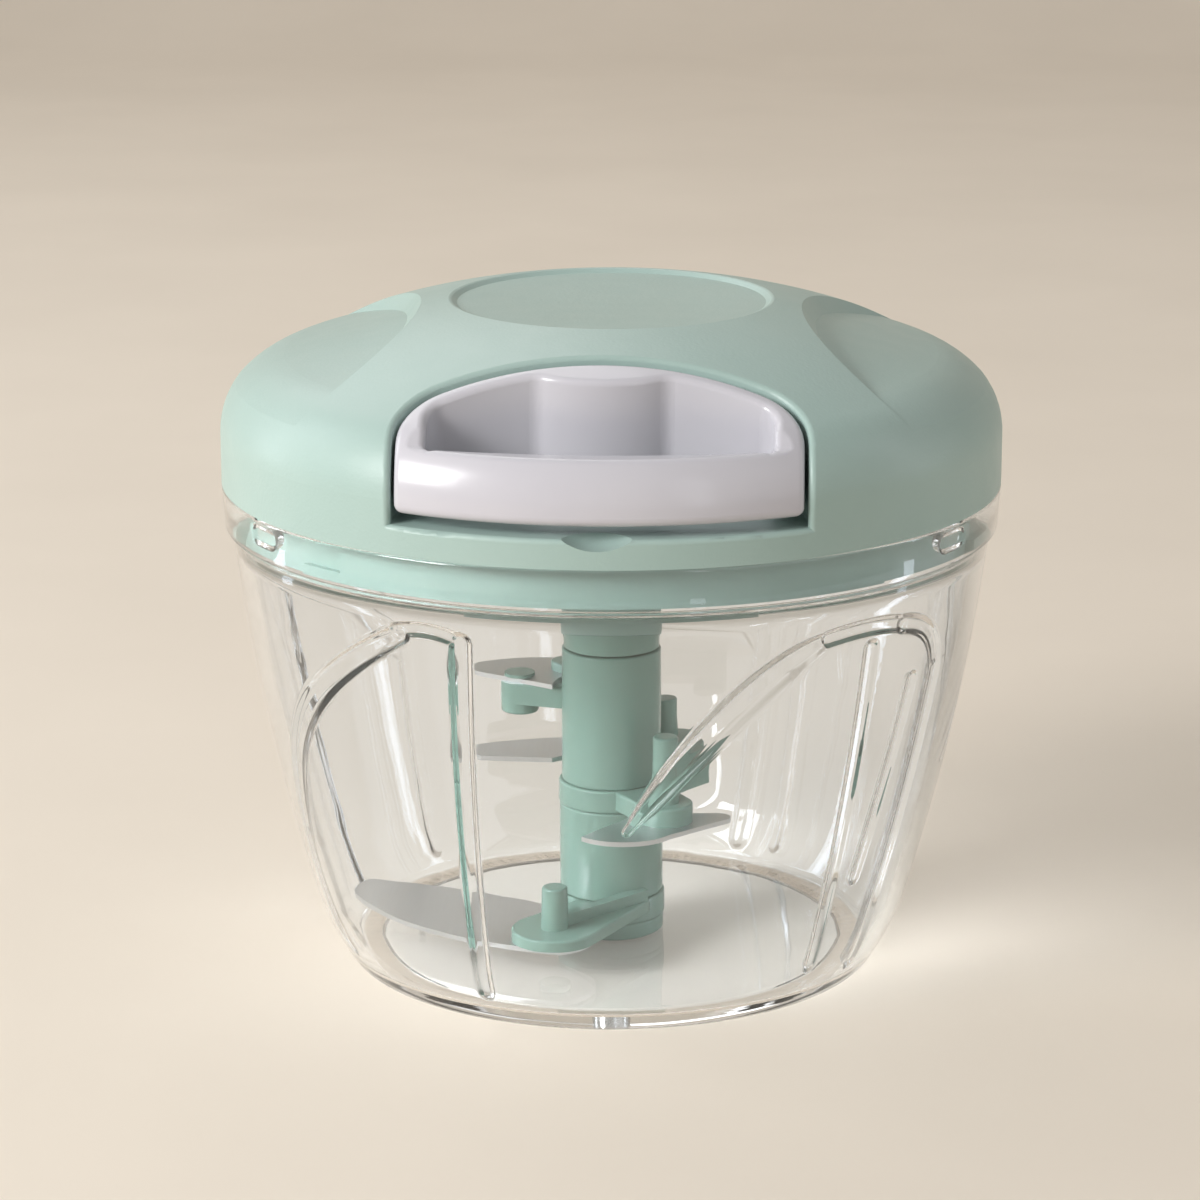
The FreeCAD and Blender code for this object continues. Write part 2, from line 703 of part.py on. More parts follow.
def lid_cover():
    """Domed cover with the handle pocket, grip scoops, dish, reel arbor and screw bosses."""
    above = LID_TOP + 5
    room = dome(-LID_WALL).common(disc(COVER_IN_R, BOWL_H, above))
    room = room.cut(handle_plan(HANDLE_GAP + POCKET_WALL, LEDGE_Z - POCKET_WALL, above))
    under = scoop(LID_WALL, LID_WALL / 2)
    room = room.cut(under).cut(mirrored(under))
    room = room.cut(disc(DISH_R + DISH_LIP + LID_WALL, LID_TOP - DISH_DEPTH - LID_WALL, above))
    for bearing in BASE_SCREW_BEARINGS:
        room = room.cut(base_boss(bearing))
    room = room.cut(disc(ARBOR_R, ARBOR_LOW, LID_TOP))
    body = cover_outside().cut(room)
    cuts = [Part.makeSphere(NOTCH_R, V(0, -RIM_R - 0.5, LEDGE_Z - NOTCH_DEPTH + NOTCH_R))]
    cuts.append(Part.makeCylinder(EYELET_R + SEATED, POCKET_WALL + 4, V(0, -EYELET_Y + 2, CORD_EXIT_Z), V(0, -1, 0)))
    cuts.append(disc(AXLE_R + SEATED, ARBOR_LOW - 1, AXLE_LOW + AXLE_GRIP))
    seal_in = RIM_R - SEAL_INSET - SEAL_W - SLIP
    cuts.append(tube(RIM_R - SEAL_INSET, seal_in - SLIP, BOWL_H - 1, BOWL_H + SEAL_T + 0.1))
    for bearing in BASE_SCREW_BEARINGS:
        p = at(BASE_SCREW_RADIUS, bearing)
        cuts.append(disc(SCREW_CORE_R + SEATED, PLATE_TOP - 1, PLATE_BOTTOM + BASE_SCREW_L + 0.5, p.x, p.y))
    for each in cuts:
        body = body.cut(each)
    return body


def seal_ring():
    outer = RIM_R - SEAL_INSET - SLIP
    return tube(outer, outer - SEAL_W, BOWL_H, BOWL_H + SEAL_T)


def lid_base():
    """Plate that closes the lid, with three locking lobes, the gear well and the drive collar."""
    lobe_low = BOWL_H - LOBE_DEPTH
    body = disc(PLATE_R, PLATE_BOTTOM, PLATE_TOP)
    ring = tube(LOBE_R, LOBE_R - LOBE_WALL, lobe_low, PLATE_BOTTOM)
    pitch = 360.0 / LUG_COUNT
    slot_deep = BAND_IN_R - LUG_PROUD - SLIP * 1.5
    lug_half = math.degrees(math.asin((LUG_W / 2 + SLIP) / slot_deep))
    slot_half = (LOBE_OFFSET + LOCK_TURN + lug_half) / 2
    for i in range(LUG_COUNT):
        gap = LUG_BEARING - LOBE_OFFSET + i * pitch
        way_in = wedge(RIM_R, lobe_low - 1, PLATE_BOTTOM, gap, LOBE_GAP / 2)
        ring = ring.cut(way_in.cut(disc(slot_deep, lobe_low - 1, PLATE_BOTTOM)))
        slot = wedge(RIM_R, LUG_Z - LUG_H / 2 - SLIP, LUG_Z + LUG_H / 2 + SLIP, gap + slot_half, slot_half)
        ring = ring.cut(slot.cut(disc(slot_deep, lobe_low, PLATE_TOP)))
    body = body.fuse(ring)
    body = body.fuse(disc(WELL_R + WELL_WALL, WELL_FLOOR - WELL_FLOOR_T, PLATE_TOP))
    body = body.fuse(disc(COLLAR_R, COLLAR_BOTTOM, WELL_FLOOR))
    body = body.cut(disc(WELL_R, WELL_FLOOR, PLATE_TOP + 1))
    body = body.cut(disc(HUB_SHAFT_R + RUNNING, COLLAR_BOTTOM - 1, WELL_FLOOR + 1))
    for bearing in BASE_SCREW_BEARINGS:
        p = at(BASE_SCREW_RADIUS, bearing)
        body = body.cut(disc(BASE_SCREW_HOLE_R, PLATE_BOTTOM - 1, PLATE_TOP + 1, p.x, p.y))
    return body


def screw(length):
    """Round-headed screw at the origin, its head's seat at z 0 and its shank along +Z."""
    head = disc(SCREW_HEAD_R, -SCREW_HEAD_H, 0)
    head = head.makeFillet(0.7, [head.Edges[2]])
    shank = disc(SCREW_CORE_R, -SCREW_HEAD_H / 2, length)
    cross = block(-1.5, 1.5, -0.3, 0.3, -SCREW_HEAD_H - 1, -SCREW_HEAD_H + 0.7)
    slots = cross.fuse(spun(cross, 90))
    return head.fuse(shank).cut(slots)


def base_screws():
    out = []
    for bearing in BASE_SCREW_BEARINGS:
        one = screw(BASE_SCREW_L)
        p = at(BASE_SCREW_RADIUS, bearing, PLATE_BOTTOM)
        one.translate(p)
        out.append(one)
    return Part.makeCompound(out)


def reel_axle():
    body = disc(AXLE_R, AXLE_LOW, AXLE_LOW + AXLE_GRIP)
    return body.cut(disc(SCREW_CORE_R + SEATED, AXLE_LOW - 1, AXLE_LOW + SCREW_L - WASHER_T + 0.5))


def reel_washer():
    return tube(WASHER_R, SCREW_CORE_R + SEATED, AXLE_LOW - WASHER_T, AXLE_LOW)


def reel_screw():
    one = screw(SCREW_L)
    one.translate(V(0, 0, AXLE_LOW - WASHER_T))
    return one


def cord_eyelet():
    """Bush in the pocket's back wall that the cord leaves through."""
    start = V(0, -EYELET_Y + EYELET_FLANGE_T, CORD_EXIT_Z)
    out = V(0, -1, 0)
    flange = Part.makeCylinder(EYELET_FLANGE_R, EYELET_FLANGE_T, start, out)
    barrel = Part.makeCylinder(EYELET_R, EYELET_FLANGE_T + POCKET_WALL, start, out)
    bore = Part.makeCylinder(EYELET_BORE_R, 20, V(0, -EYELET_Y + 10, CORD_EXIT_Z), out)
    mouth = Part.makeCone(EYELET_FLANGE_R - 1.2, EYELET_BORE_R, EYELET_FLANGE_T, start, out)
    return flange.fuse(barrel).cut(bore).cut(mouth)


def cord_route():
    """Cord from the drum's tangent to the eyelet, then straight out to the handle."""
    corner = V(0, -EYELET_Y + EYELET_FLANGE_T + 0.4, CORD_EXIT_Z)
    reach = math.hypot(corner.x, corner.y)
    lay = CORD_LAY_R + SLIP
    turn = math.asin(lay / reach)
    run = math.sqrt(reach ** 2 - lay ** 2)
    away = V(math.sin(turn), math.cos(turn), 0)
    half = CORD_BEND_R * math.tan(turn / 2)
    start = corner.add(V(away).multiply(run - SLIP))
    bend_in = corner.add(V(away).multiply(half))
    bend_out = corner.add(V(0, -half, 0))
    centre_way = V(away).add(V(0, -1, 0)).normalize()
    centre = corner.add(V(centre_way).multiply(CORD_BEND_R / math.cos(turn / 2)))
    bend_mid = centre.sub(V(centre_way).multiply(CORD_BEND_R))
    return start, bend_in, bend_mid, bend_out


def cord_lead():
    start, bend_in, bend_mid, bend_out = cord_route()
    end = V(0, -HANDLE_BACK - 1.0, CORD_EXIT_Z)
    path = Part.Wire([segment(start, bend_in), arc(bend_in, bend_mid, bend_out), segment(bend_out, end)])
    return pipe(path, start, bend_in.sub(start), CORD_R)


def pipe(path, start, way, radius):
    ring = Part.Wire([Part.makeCircle(radius, start, way)])
    return path.makePipeShell([ring], True, False)


def coil(lay_r, low_z, pitch, turns, wire_r, first_bearing, way=1):
    """Round wire in half turns, each a flat half circle, level where it meets the next."""
    rise = pitch / 2
    pieces = []
    for i in range(int(2 * turns)):
        bearing = first_bearing + way * 180.0 * i
        start = at(lay_r, bearing, low_z + rise * i)
        centre = V(0, 0, low_z + rise * (i + 0.5))
        ahead = at(1, bearing + way * 90)
        section = Part.Face(Part.Wire([Part.makeCircle(wire_r, start, ahead)]))
        pieces.append(section.revolve(centre, start.sub(centre).cross(ahead), 180))
    return pieces[0].fuse(pieces[1:])


def cord_winding():
    """Turns of cord on the drum, climbing to the height where the cord leaves."""
    start = cord_route()[0]
    leave = math.degrees(math.atan2(start.x, -start.y))
    return coil(CORD_LAY_R, CORD_LOW_Z, CORD_PITCH, CORD_TURNS, CORD_R, leave, -1)


def saw_tooth(points):
    """Tooth between the ratchet radii, from a profile of (sideways, height) points."""
    face = outline([V(x - TOOTH_W / 2, -TOOTH_IN_R, z) for x, z in points])
    return face.extrude(V(0, -(CLUTCH_R - TOOTH_IN_R - 0.6), 0))


def reel():
    """Drum with two flanges, a spring room, a bearing boss and ratchet teeth underneath."""
    root = REEL_BOTTOM
    tip = root - TOOTH_H
    tooth = saw_tooth([(0, root + 0.3), (0, tip), (TOOTH_W, root), (TOOTH_W, root + 0.3)])
    body = disc(DRUM_R, REEL_BOTTOM, REEL_TOP)
    body = body.fuse([disc(REEL_FLANGE_R, REEL_BOTTOM, DRUM_LOW), disc(REEL_FLANGE_R, DRUM_HIGH, REEL_TOP)])
    body = body.cut(disc(DRUM_R - DRUM_WALL, DRUM_LOW, REEL_TOP + 1))
    body = body.fuse(disc(REEL_BOSS_R, REEL_BOTTOM - REEL_BOSS_DROP, DRUM_LOW))
    body = body.fuse(around(tooth, TOOTH_COUNT))
    return body.cut(disc(AXLE_R + RUNNING, REEL_BOTTOM - REEL_BOSS_DROP - 1, DRUM_LOW + 1))


def reel_cover():
    """Disc that closes the spring room, with a lip inside the drum."""
    inner = ARBOR_R + ARBOR_GAP
    room = DRUM_R - DRUM_WALL - SEATED
    cap = tube(DRUM_R + 2.5, inner, REEL_TOP, REEL_TOP + REEL_COVER_T)
    lip = tube(room, room - 1.0, REEL_TOP - REEL_COVER_LIP, REEL_TOP)
    return cap.fuse(lip)


def return_spring():
    """Flat spiral of half circles between the arbor and the drum."""
    half_pitch = STRIP_PITCH / 2
    first = ARBOR_R + ARBOR_GAP
    z = DRUM_LOW + SLIP
    outer = []
    inner = []
    for i in range(2 * STRIP_TURNS):
        side = 1 if i % 2 == 0 else -1
        middle = 0.0 if i % 2 == 0 else half_pitch
        r = first + half_pitch * i
        for grow, edges in ((STRIP_T, outer), (0.0, inner)):
            reach = r + grow
            p = V(middle + side * reach, 0, z)
            m = V(middle, side * reach, z)
            q = V(middle - side * reach, 0, z)
            edges.append(arc(p, m, q))
    start = segment(inner[0].firstVertex(True).Point, outer[0].firstVertex(True).Point)
    end = segment(outer[-1].lastVertex(True).Point, inner[-1].lastVertex(True).Point)
    wire = Part.Wire(Part.__sortEdges__([start] + outer + [end] + inner))
    return Part.Face(wire).extrude(V(0, 0, STRIP_H))


def clutch_ring():
    """Sliding ring with teeth on top and slots for the hub's keys."""
    root = CLUTCH_ROOT
    tip = root + TOOTH_H
    right = TOOTH_W + TOOTH_SET
    tooth = saw_tooth([(TOOTH_SET, root), (TOOTH_SET, root - 0.3), (right, root - 0.3), (right, tip)])
    body = tube(CLUTCH_R, HUB_CORE_R + SLIP, CLUTCH_LOW, root)
    body = body.fuse(around(tooth, TOOTH_COUNT))
    key = block(-KEY_W / 2 - SLIP, KEY_W / 2 + SLIP, -HUB_KEY_R - SLIP, 0, CLUTCH_LOW - 1, root + 3)
    for each in around(key, KEY_COUNT):
        body = body.cut(each)
    return body


def drive_hub():
    """Shaft through the collar, flange, and keyed column that the clutch ring slides on."""
    key = block(-KEY_W / 2, KEY_W / 2, -HUB_KEY_R, 0, HUB_FLANGE_TOP - 0.5, HUB_TOP)
    body = disc(HUB_SHAFT_R, DOG_TOP + SEATED, HUB_BOTTOM + 1)
    body = body.fuse([disc(HUB_FLANGE_R, HUB_BOTTOM, HUB_FLANGE_TOP), disc(HUB_CORE_R, HUB_BOTTOM, HUB_TOP)])
    body = body.fuse(around(key, KEY_COUNT))
    body = body.fuse(hub_neck(0))
    body = body.cut(disc(HUB_HOLLOW_R, HUB_TOP - HUB_HOLLOW_DEPTH, HUB_TOP + 1))
    return body.cut(disc(SCREW_CORE_R + SEATED, DOG_LOW - 5, DOG_LOW + SCREW_L - 0.5))


def hub_neck(grow):
    """Flatted end of the hub that the drive dog fits over."""
    body = disc(HUB_NECK_R + grow, DOG_LOW + 1.5 - grow, DOG_TOP + SEATED + 0.5)
    reach = HUB_NECK_R + 2
    return body.common(block(-HUB_NECK_FLAT - grow, reach, -reach, reach, DOG_LOW, DOG_TOP + 2))


def wings(radius, width, z0, z1):
    """Two opposite wings across the axis."""
    return block(-radius, radius, -width / 2, width / 2, z0, z1).common(disc(radius, z0, z1))


def drive_dog():
    """Lower end of the drive: a drum under the collar with a winged tongue for the blade unit."""
    body = disc(DOG_R, DOG_LOW, DOG_TOP)
    body = body.fuse([disc(DOG_TONGUE_R, TONGUE_LOW, DOG_LOW + 1), wings(DOG_WING_R, DOG_WING_W, TONGUE_LOW, DOG_LOW + 1)])
    body = body.cut(hub_neck(SEATED))
    body = body.cut(disc(SCREW_CORE_R + SEATED, TONGUE_LOW - 1, DOG_TOP))
    return body.cut(disc(SCREW_HEAD_R + SEATED, TONGUE_LOW - 1, DOG_LOW - 3))


def dog_screw():
    one = screw(SCREW_L + 1)
    one.translate(V(0, 0, DOG_LOW - 3))
    return one


def clutch_spring():
    room = CLUTCH_LOW - HUB_FLANGE_TOP - CLUTCH_SPRING_WIRE - 2 * SEATED
    low = HUB_FLANGE_TOP + CLUTCH_SPRING_WIRE / 2 + SEATED
    return coil(CLUTCH_SPRING_R, low, room / CLUTCH_SPRING_TURNS, CLUTCH_SPRING_TURNS, CLUTCH_SPRING_WIRE / 2, 0)


def rim_of_cut(shape, tool, above_z):
    """Edges that a tool has left on a shape higher than a height, without the upright ones."""
    out = []
    for edge in shape.Edges:
        middle = edge.valueAt((edge.FirstParameter + edge.LastParameter) / 2)
        ends = [v.Point for v in edge.Vertexes]
        upright = math.hypot(ends[0].x - ends[-1].x, ends[0].y - ends[-1].y) < 1e-6
        if middle.z > above_z and not upright and tool.Shells[0].distToShape(Part.Vertex(middle))[0] < 1e-4:
            out.append(edge)
    return out


def finger_hole(low, above):
    """Opening of the handle: round corners, a bowed front and the boss standing in at the back."""
    half = HANDLE_W / 2 - GRIP_SIDE_WALL
    back = HANDLE_BACK + GRIP_BACK_WALL
    bow_y = GRIP_FRONT_ARC_R - GRIP_FRONT
    corner_y = bow_y - math.sqrt(GRIP_FRONT_ARC_R ** 2 - half ** 2)
    hole = block(-half, half, -RIM_R, -back, low, above)
    hole = hole.common(disc(GRIP_FRONT_ARC_R, low, above, 0, bow_y))
    hole = hole.common(disc(HANDLE_ARCH_R - GRIP_BACK_WALL, low, above, 0, ARCH_Y))
    hole = hole.makeFillet(GRIP_CORNER_R, upright_edges(hole, arch_back(-GRIP_BACK_WALL, half)))
    hole = hole.makeFillet(GRIP_FRONT_CORNER_R, upright_edges(hole, corner_y))
    boss_y = BOSS_R - back - BOSS_PROUD
    hole = hole.cut(disc(BOSS_R, low - 1, above + 1, 0, boss_y))
    apart = boss_y - ARCH_Y
    root = ((HANDLE_ARCH_R - GRIP_BACK_WALL) ** 2 - BOSS_R ** 2 + apart ** 2) / (2 * apart)
    return hole.makeFillet(BOSS_FILLET_R, upright_edges(hole, ARCH_Y + root)), corner_y


def pull_handle():
    """Grip that fills the pocket, its skin following the lid, with the finger hole and cord boss."""
    above = LID_TOP + 5
    bar_top = HANDLE_BOTTOM + GRIP_BAR_TOP
    hole, corner_y = finger_hole(HANDLE_BOTTOM - 1, above)
    rise = above - bar_top
    side = -HANDLE_W / 2 - 1
    dip = [V(side, -RIM_R - 5, bar_top), V(side, corner_y, bar_top)]
    dip += [V(side, corner_y + rise, above), V(side, -RIM_R - 5, above)]
    body = handle_plan(0, HANDLE_BOTTOM, above).common(dome(-HANDLE_SINK))
    body = body.cut(outline(dip).extrude(V(HANDLE_W + 2, 0, 0)))
    body = body.makeFillet(HANDLE_ROUND, body.Edges)
    body = body.cut(hole)
    body = body.makeFillet(GRIP_ROUND, rim_of_cut(body, hole, HANDLE_BOTTOM + 3))
    knot_y = -(HANDLE_BACK + KNOT_BACK)
    body = body.cut(disc(KNOT_R + KNOT_ROOM, HANDLE_BOTTOM - 1, CORD_EXIT_Z + KNOT_R + 1, 0, knot_y))
    bore = Part.makeCylinder(EYELET_BORE_R, KNOT_BACK, V(0, -HANDLE_BACK + 1, CORD_EXIT_Z), V(0, -1, 0))
    return body.cut(bore)


def cord_knot():
    """Knot behind the boss and the short end of cord that holds it."""
    y = -(HANDLE_BACK + KNOT_BACK)
    ball = Part.makeSphere(KNOT_R, V(0, y, CORD_EXIT_Z))
    tail = Part.makeCylinder(CORD_R, KNOT_BACK - 1.3, V(0, y, CORD_EXIT_Z), V(0, 1, 0))
    drop = disc(CORD_R, CORD_EXIT_Z - KNOT_R - 3.5, CORD_EXIT_Z, 0, y)
    return ball.fuse([tail, drop])


# Blade unit, drawn as it stands before UNIT_TURN is applied


def rounded(shape, *levels):
    """Shape with the edges that lie flat at some heights made round."""
    edges = []
    for z in levels:
        edges += [e for e in shape.Edges if abs(e.BoundBox.ZMin - z) < 1e-3 and abs(e.BoundBox.ZMax - z) < 1e-3]
    return shape.makeFillet(UNIT_ROUND, edges)


def link(p, r0, q, r1, z0, z1):
    """Arm in plan: two discs and the straight sides between them."""
    d = V(q.x - p.x, q.y - p.y, 0)
    slant = math.acos((r0 - r1) / d.Length)
    heading = math.atan2(d.y, d.x)
    sides = []
    for sign in (1, -1):
        a = heading + sign * slant
        out = V(math.cos(a), math.sin(a), 0)
        sides.append((V(p.x, p.y, z0).add(V(out).multiply(r0)), V(q.x, q.y, z0).add(V(out).multiply(r1))))
    web = outline([sides[0][0], sides[0][1], sides[1][1], sides[1][0]]).extrude(V(0, 0, z1 - z0))
    body = web.fuse([disc(r0, z0, z1, p.x, p.y), disc(r1, z0, z1, q.x, q.y)]).removeSplitter()
    return rounded(body, z1)


def fin(p, q, width, z0, z1):
    """Upright rib between two points in plan."""
    d = V(q.x - p.x, q.y - p.y, 0)
    side = V(-d.y, d.x, 0).normalize().multiply(width / 2)
    corners = [p.add(side), q.add(side), q.sub(side), p.sub(side)]
    return outline([V(c.x, c.y, z0) for c in corners]).extrude(V(0, 0, z1 - z0))


def peg(p, z0, z1):
    return rounded(Part.makeCone(PEG_R, PEG_R - PEG_TAPER, z1 - z0, V(p.x, p.y, z0)), z1)


LONG_PEG = V(-9.4, -21.2, 0)
FRONT_PEG = V(9.0, -14.0, 0)
REAR_PEG = V(9.3, 12.6, 0)
UPPER_PEG = V(-15.7, 6.4, 0)
LONG_BLADE_Z = 7.3
FRONT_BLADE_Z = RING_MID_Z - 0.1
REAR_BLADE_Z = 30.6
UPPER_BLADE_Z = 45.0


def sheet(edges, z):
    """Steel sheet of the blade thickness on a plan outline."""
    face = face_of(edges)
    solid = face.extrude(V(0, 0, BLADE_T))
    solid.translate(V(0, 0, z))
    return solid


def flat(x, y):
    return V(x, y, 0)


def blade_long():
    """Long lower blade that sweeps out towards the bowl's foot."""
    edges = [
        arc(flat(-42.2, 8.8), flat(-44.7, 5.0), flat(-44.4, 0.4)),
        arc(flat(-44.4, 0.4), flat(-28.6, -17.8), flat(-8.5, -27.4)),
        arc(flat(-8.5, -27.4), flat(-3.4, -23.0), flat(-3.2, -16.2)),
        segment(flat(-3.2, -16.2), flat(-9.2, -5.4)),
        arc(flat(-9.2, -5.4), flat(-24.4, 3.0), flat(-42.2, 8.8)),
    ]
    return sheet(edges, LONG_BLADE_Z)


def blade_front():
    """Short middle blade in front of the column."""
    edges = [
        arc(flat(-4.9, -22.9), flat(2.4, -26.0), flat(9.6, -22.0)),
        segment(flat(9.6, -22.0), flat(19.2, -13.6)),
        arc(flat(19.2, -13.6), flat(19.9, -11.8), flat(18.3, -10.3)),
        segment(flat(18.3, -10.3), flat(4.6, -10.6)),
        segment(flat(4.6, -10.6), flat(-4.9, -22.9)),
    ]
    return sheet(edges, FRONT_BLADE_Z)


def blade_rear():
    """Short middle blade that passes behind the column to the left."""
    edges = [
        arc(flat(-22.4, 6.2), flat(-24.6, 9.4), flat(-22.8, 13.4)),
        arc(flat(-22.8, 13.4), flat(-6.0, 17.4), flat(13.0, 16.2)),
        segment(flat(13.0, 16.2), flat(13.0, 9.4)),
        arc(flat(13.0, 9.4), flat(0.0, 9.6), flat(-10.2, 4.9)),
        segment(flat(-10.2, 4.9), flat(-22.4, 6.2)),
    ]
    return sheet(edges, REAR_BLADE_Z)


def blade_upper():
    """Short top blade at the left."""
    edges = [
        arc(flat(-22.8, 8.4), flat(-24.4, 11.6), flat(-22.8, 14.6)),
        arc(flat(-22.8, 14.6), flat(-12.0, 17.4), flat(-3.6, 16.4)),
        segment(flat(-3.6, 16.4), flat(-4.2, 9.2)),
        arc(flat(-4.2, 9.2), flat(-8.6, 4.8), flat(-10.0, 0.0)),
        segment(flat(-10.0, 0.0), flat(-22.8, 8.4)),
    ]
    return sheet(edges, UPPER_BLADE_Z)


def blade_core():
    """Foot plate and inner tube that carry the rings and sleeves, with the drive slots on top."""
    body = rounded(disc(FOOT_PLATE_R, UNIT_BOTTOM + SLIP, RING_LOW_Z), UNIT_BOTTOM + SLIP, RING_LOW_Z)
    body = body.fuse(disc(CORE_R, UNIT_BOTTOM + SLIP, UNIT_TOP))
    body = body.cut(disc(PIVOT_R + RUNNING, 0, PIVOT_TOP + 1))
    body = body.cut(disc(PIN_BOSS_R + 0.5, 0, FLOOR_TOP + SLIP))
    body = body.cut(disc(DOG_TONGUE_R + SOCKET_GAP, SOCKET_LOW, UNIT_TOP + 1))
    for turn in (90, 270):
        slot = wedge(DOG_WING_R + SOCKET_GAP, SOCKET_LOW, UNIT_TOP + 1, SOCKET_CENTRE + turn, SOCKET_SWEEP)
        body = body.cut(slot)
    return body.cut(disc(SCREW_HEAD_R + 0.6, SOCKET_LOW - 6, SOCKET_LOW + 1))


def lower_holder():
    """Bottom ring with the arm, pad and peg of the long blade."""
    top = RING_LOW_TOP
    pad_low = LONG_BLADE_Z + BLADE_T
    body = rounded(disc(RING_R, RING_LOW_Z, top), RING_LOW_Z, top)
    body = body.fuse(link(flat(1.5, -6.0), 5.0, LONG_PEG, 7.2, pad_low, top))
    body = body.fuse([fin(LONG_PEG, flat(5.5, -7.0), 2.0, pad_low, top + 2.0), peg(LONG_PEG, pad_low, 17.2)])
    body = body.cut(disc(SLEEVE_BORE_R, RING_LOW_Z - 1, top + 3))
    body = body.cut(disc(SLEEVE_LOW_R, top, top + 5))
    return body.cut(stem(*LONG_STEM, SEATED))


def lower_sleeve():
    body = rounded(disc(SLEEVE_LOW_R, RING_LOW_TOP, RING_MID_Z), RING_LOW_TOP, RING_MID_Z)
    return body.cut(disc(SLEEVE_BORE_R, RING_LOW_TOP - 1, RING_MID_Z + 1))


def middle_holder():
    """Middle ring with the front arm and the raised rear arm."""
    low = FRONT_BLADE_Z + BLADE_T
    top = RING_MID_TOP
    rear_low = REAR_BLADE_Z + BLADE_T
    body = rounded(disc(RING_MID_R, RING_MID_Z, top), RING_MID_Z, top)
    front = link(flat(3.0, -3.0), 5.0, FRONT_PEG, 4.6, low, top)
    rear = link(flat(5.0, 3.0), 4.0, flat(11.0, 10.6), 5.4, low, rear_low + 2.0)
    wing = fin(flat(8.0, -2.0), flat(16.2, 7.5), 1.8, low, rear_low + 2.0)
    body = body.fuse([front, rear, wing, peg(FRONT_PEG, low, 41.0), peg(REAR_PEG, rear_low, 40.0)])
    body = body.cut(disc(SLEEVE_BORE_R, RING_MID_Z - 1, 45))
    body = body.cut(disc(SLEEVE_TOP_R, top, 45))
    body = body.cut(blade_rear())
    return body.cut(stem(*REAR_STEM, SEATED)).cut(stem(*FRONT_STEM, SEATED))


def upper_sleeve():
    """Top sleeve with the arm and hanging boss of the upper blade."""
    low = RING_MID_TOP
    body = rounded(disc(SLEEVE_TOP_R, low, UNIT_TOP), low, UNIT_TOP)
    arm = link(flat(-4.0, 3.0), 3.4, UPPER_PEG, 3.2, UPPER_BLADE_Z - 3.6, UPPER_BLADE_Z)
    boss = rounded(disc(3.2, 39.5, UPPER_BLADE_Z, UPPER_PEG.x, UPPER_PEG.y), 39.5)
    clamp = link(flat(-3.0, 5.0), 3.6, flat(-7.4, 10.4), 3.0, UPPER_BLADE_Z, UPPER_BLADE_Z + BLADE_T + 1.6)
    body = body.fuse([arm, boss, clamp])
    body = body.cut(disc(SLEEVE_BORE_R, low - 1, UNIT_TOP + 1))
    body = body.cut(blade_upper())
    return body.cut(stem(*UPPER_STEM, SEATED))


def stem(p, z0, z1, grow=0.0):
    """Stem of a rivet, or the hole for it when grown."""
    return disc(RIVET_STEM_R + grow, z0 - grow, z1 + grow, p.x, p.y)


def rivet(p, head_low, head_high, stem_low, stem_high):
    return disc(RIVET_HEAD_R, head_low, head_high, p.x, p.y).fuse(stem(p, stem_low, stem_high))


# Stems by height: long, front and rear blades from below, upper blade from above
LONG_STEM = (LONG_PEG, LONG_BLADE_Z, LONG_BLADE_Z + BLADE_T + RIVET_STEM_L)
FRONT_STEM = (FRONT_PEG, FRONT_BLADE_Z, FRONT_BLADE_Z + BLADE_T + RIVET_STEM_L)
REAR_STEM = (REAR_PEG, FRONT_BLADE_Z + BLADE_T, REAR_BLADE_Z + BLADE_T + RIVET_STEM_L)
UPPER_STEM = (UPPER_PEG, UPPER_BLADE_Z - RIVET_STEM_L, UPPER_BLADE_Z + BLADE_T)


def blade_rivets():
    rivets = []
    for p, low, high in (LONG_STEM, FRONT_STEM, REAR_STEM):
        rivets.append(rivet(p, low - RIVET_HEAD_T, low, low, high))
    p, low, high = UPPER_STEM
    rivets.append(rivet(p, high, high + RIVET_HEAD_T / 2, low, high))
    return rivets


def drilled(blade, p):
    """Blade with the hole for its rivet."""
    return blade.cut(disc(RIVET_STEM_R + SEATED, 0, UNIT_TOP, p.x, p.y))


def blade_unit():
    parts = {
        "blade_core": blade_core(),
        "lower_blade_holder": lower_holder(),
        "lower_sleeve": lower_sleeve(),
        "middle_blade_holder": middle_holder(),
        "upper_sleeve": upper_sleeve(),
        "blade_long": drilled(blade_long(), LONG_PEG),
        "blade_front": drilled(blade_front(), FRONT_PEG),
        "blade_rear": drilled(blade_rear(), REAR_PEG),
        "blade_upper": drilled(blade_upper(), UPPER_PEG),
        "blade_rivets": Part.makeCompound(blade_rivets()),
    }
    return {name: spun(shape, UNIT_TURN) for name, shape in parts.items() if name != "blade_core"} | {
        "blade_core": parts["blade_core"]
    }


def all_parts():
    parts = {
        "bowl": bowl(),
        "pivot_pin": pivot_pin(),
        "seal_ring": seal_ring(),
        "lid_cover": lid_cover(),
        "lid_base": lid_base(),
        "base_screws": base_screws(),
        "reel_axle": reel_axle(),
        "reel_washer": reel_washer(),
        "reel_screw": reel_screw(),
        "cord_eyelet": cord_eyelet(),
        "cord_lead": cord_lead(),
        "pull_handle": pull_handle(),
        "cord_knot": cord_knot(),
        "reel": reel(),
        "reel_cover": reel_cover(),
        "return_spring": return_spring(),
        "cord_winding": cord_winding(),
        "drive_hub": drive_hub(),
        "drive_dog": drive_dog(),
        "dog_screw": dog_screw(),
        "clutch_ring": clutch_ring(),
        "clutch_spring": clutch_spring(),
    }
    parts.update(blade_unit())
    return parts


os.makedirs("parts", exist_ok=True)
for name, shape in all_parts().items():
    shape.exportStep("parts/" + name + ".step")
    print(name, len(shape.Solids), "solids, valid", shape.isValid(), "volume", round(shape.Volume, 1))
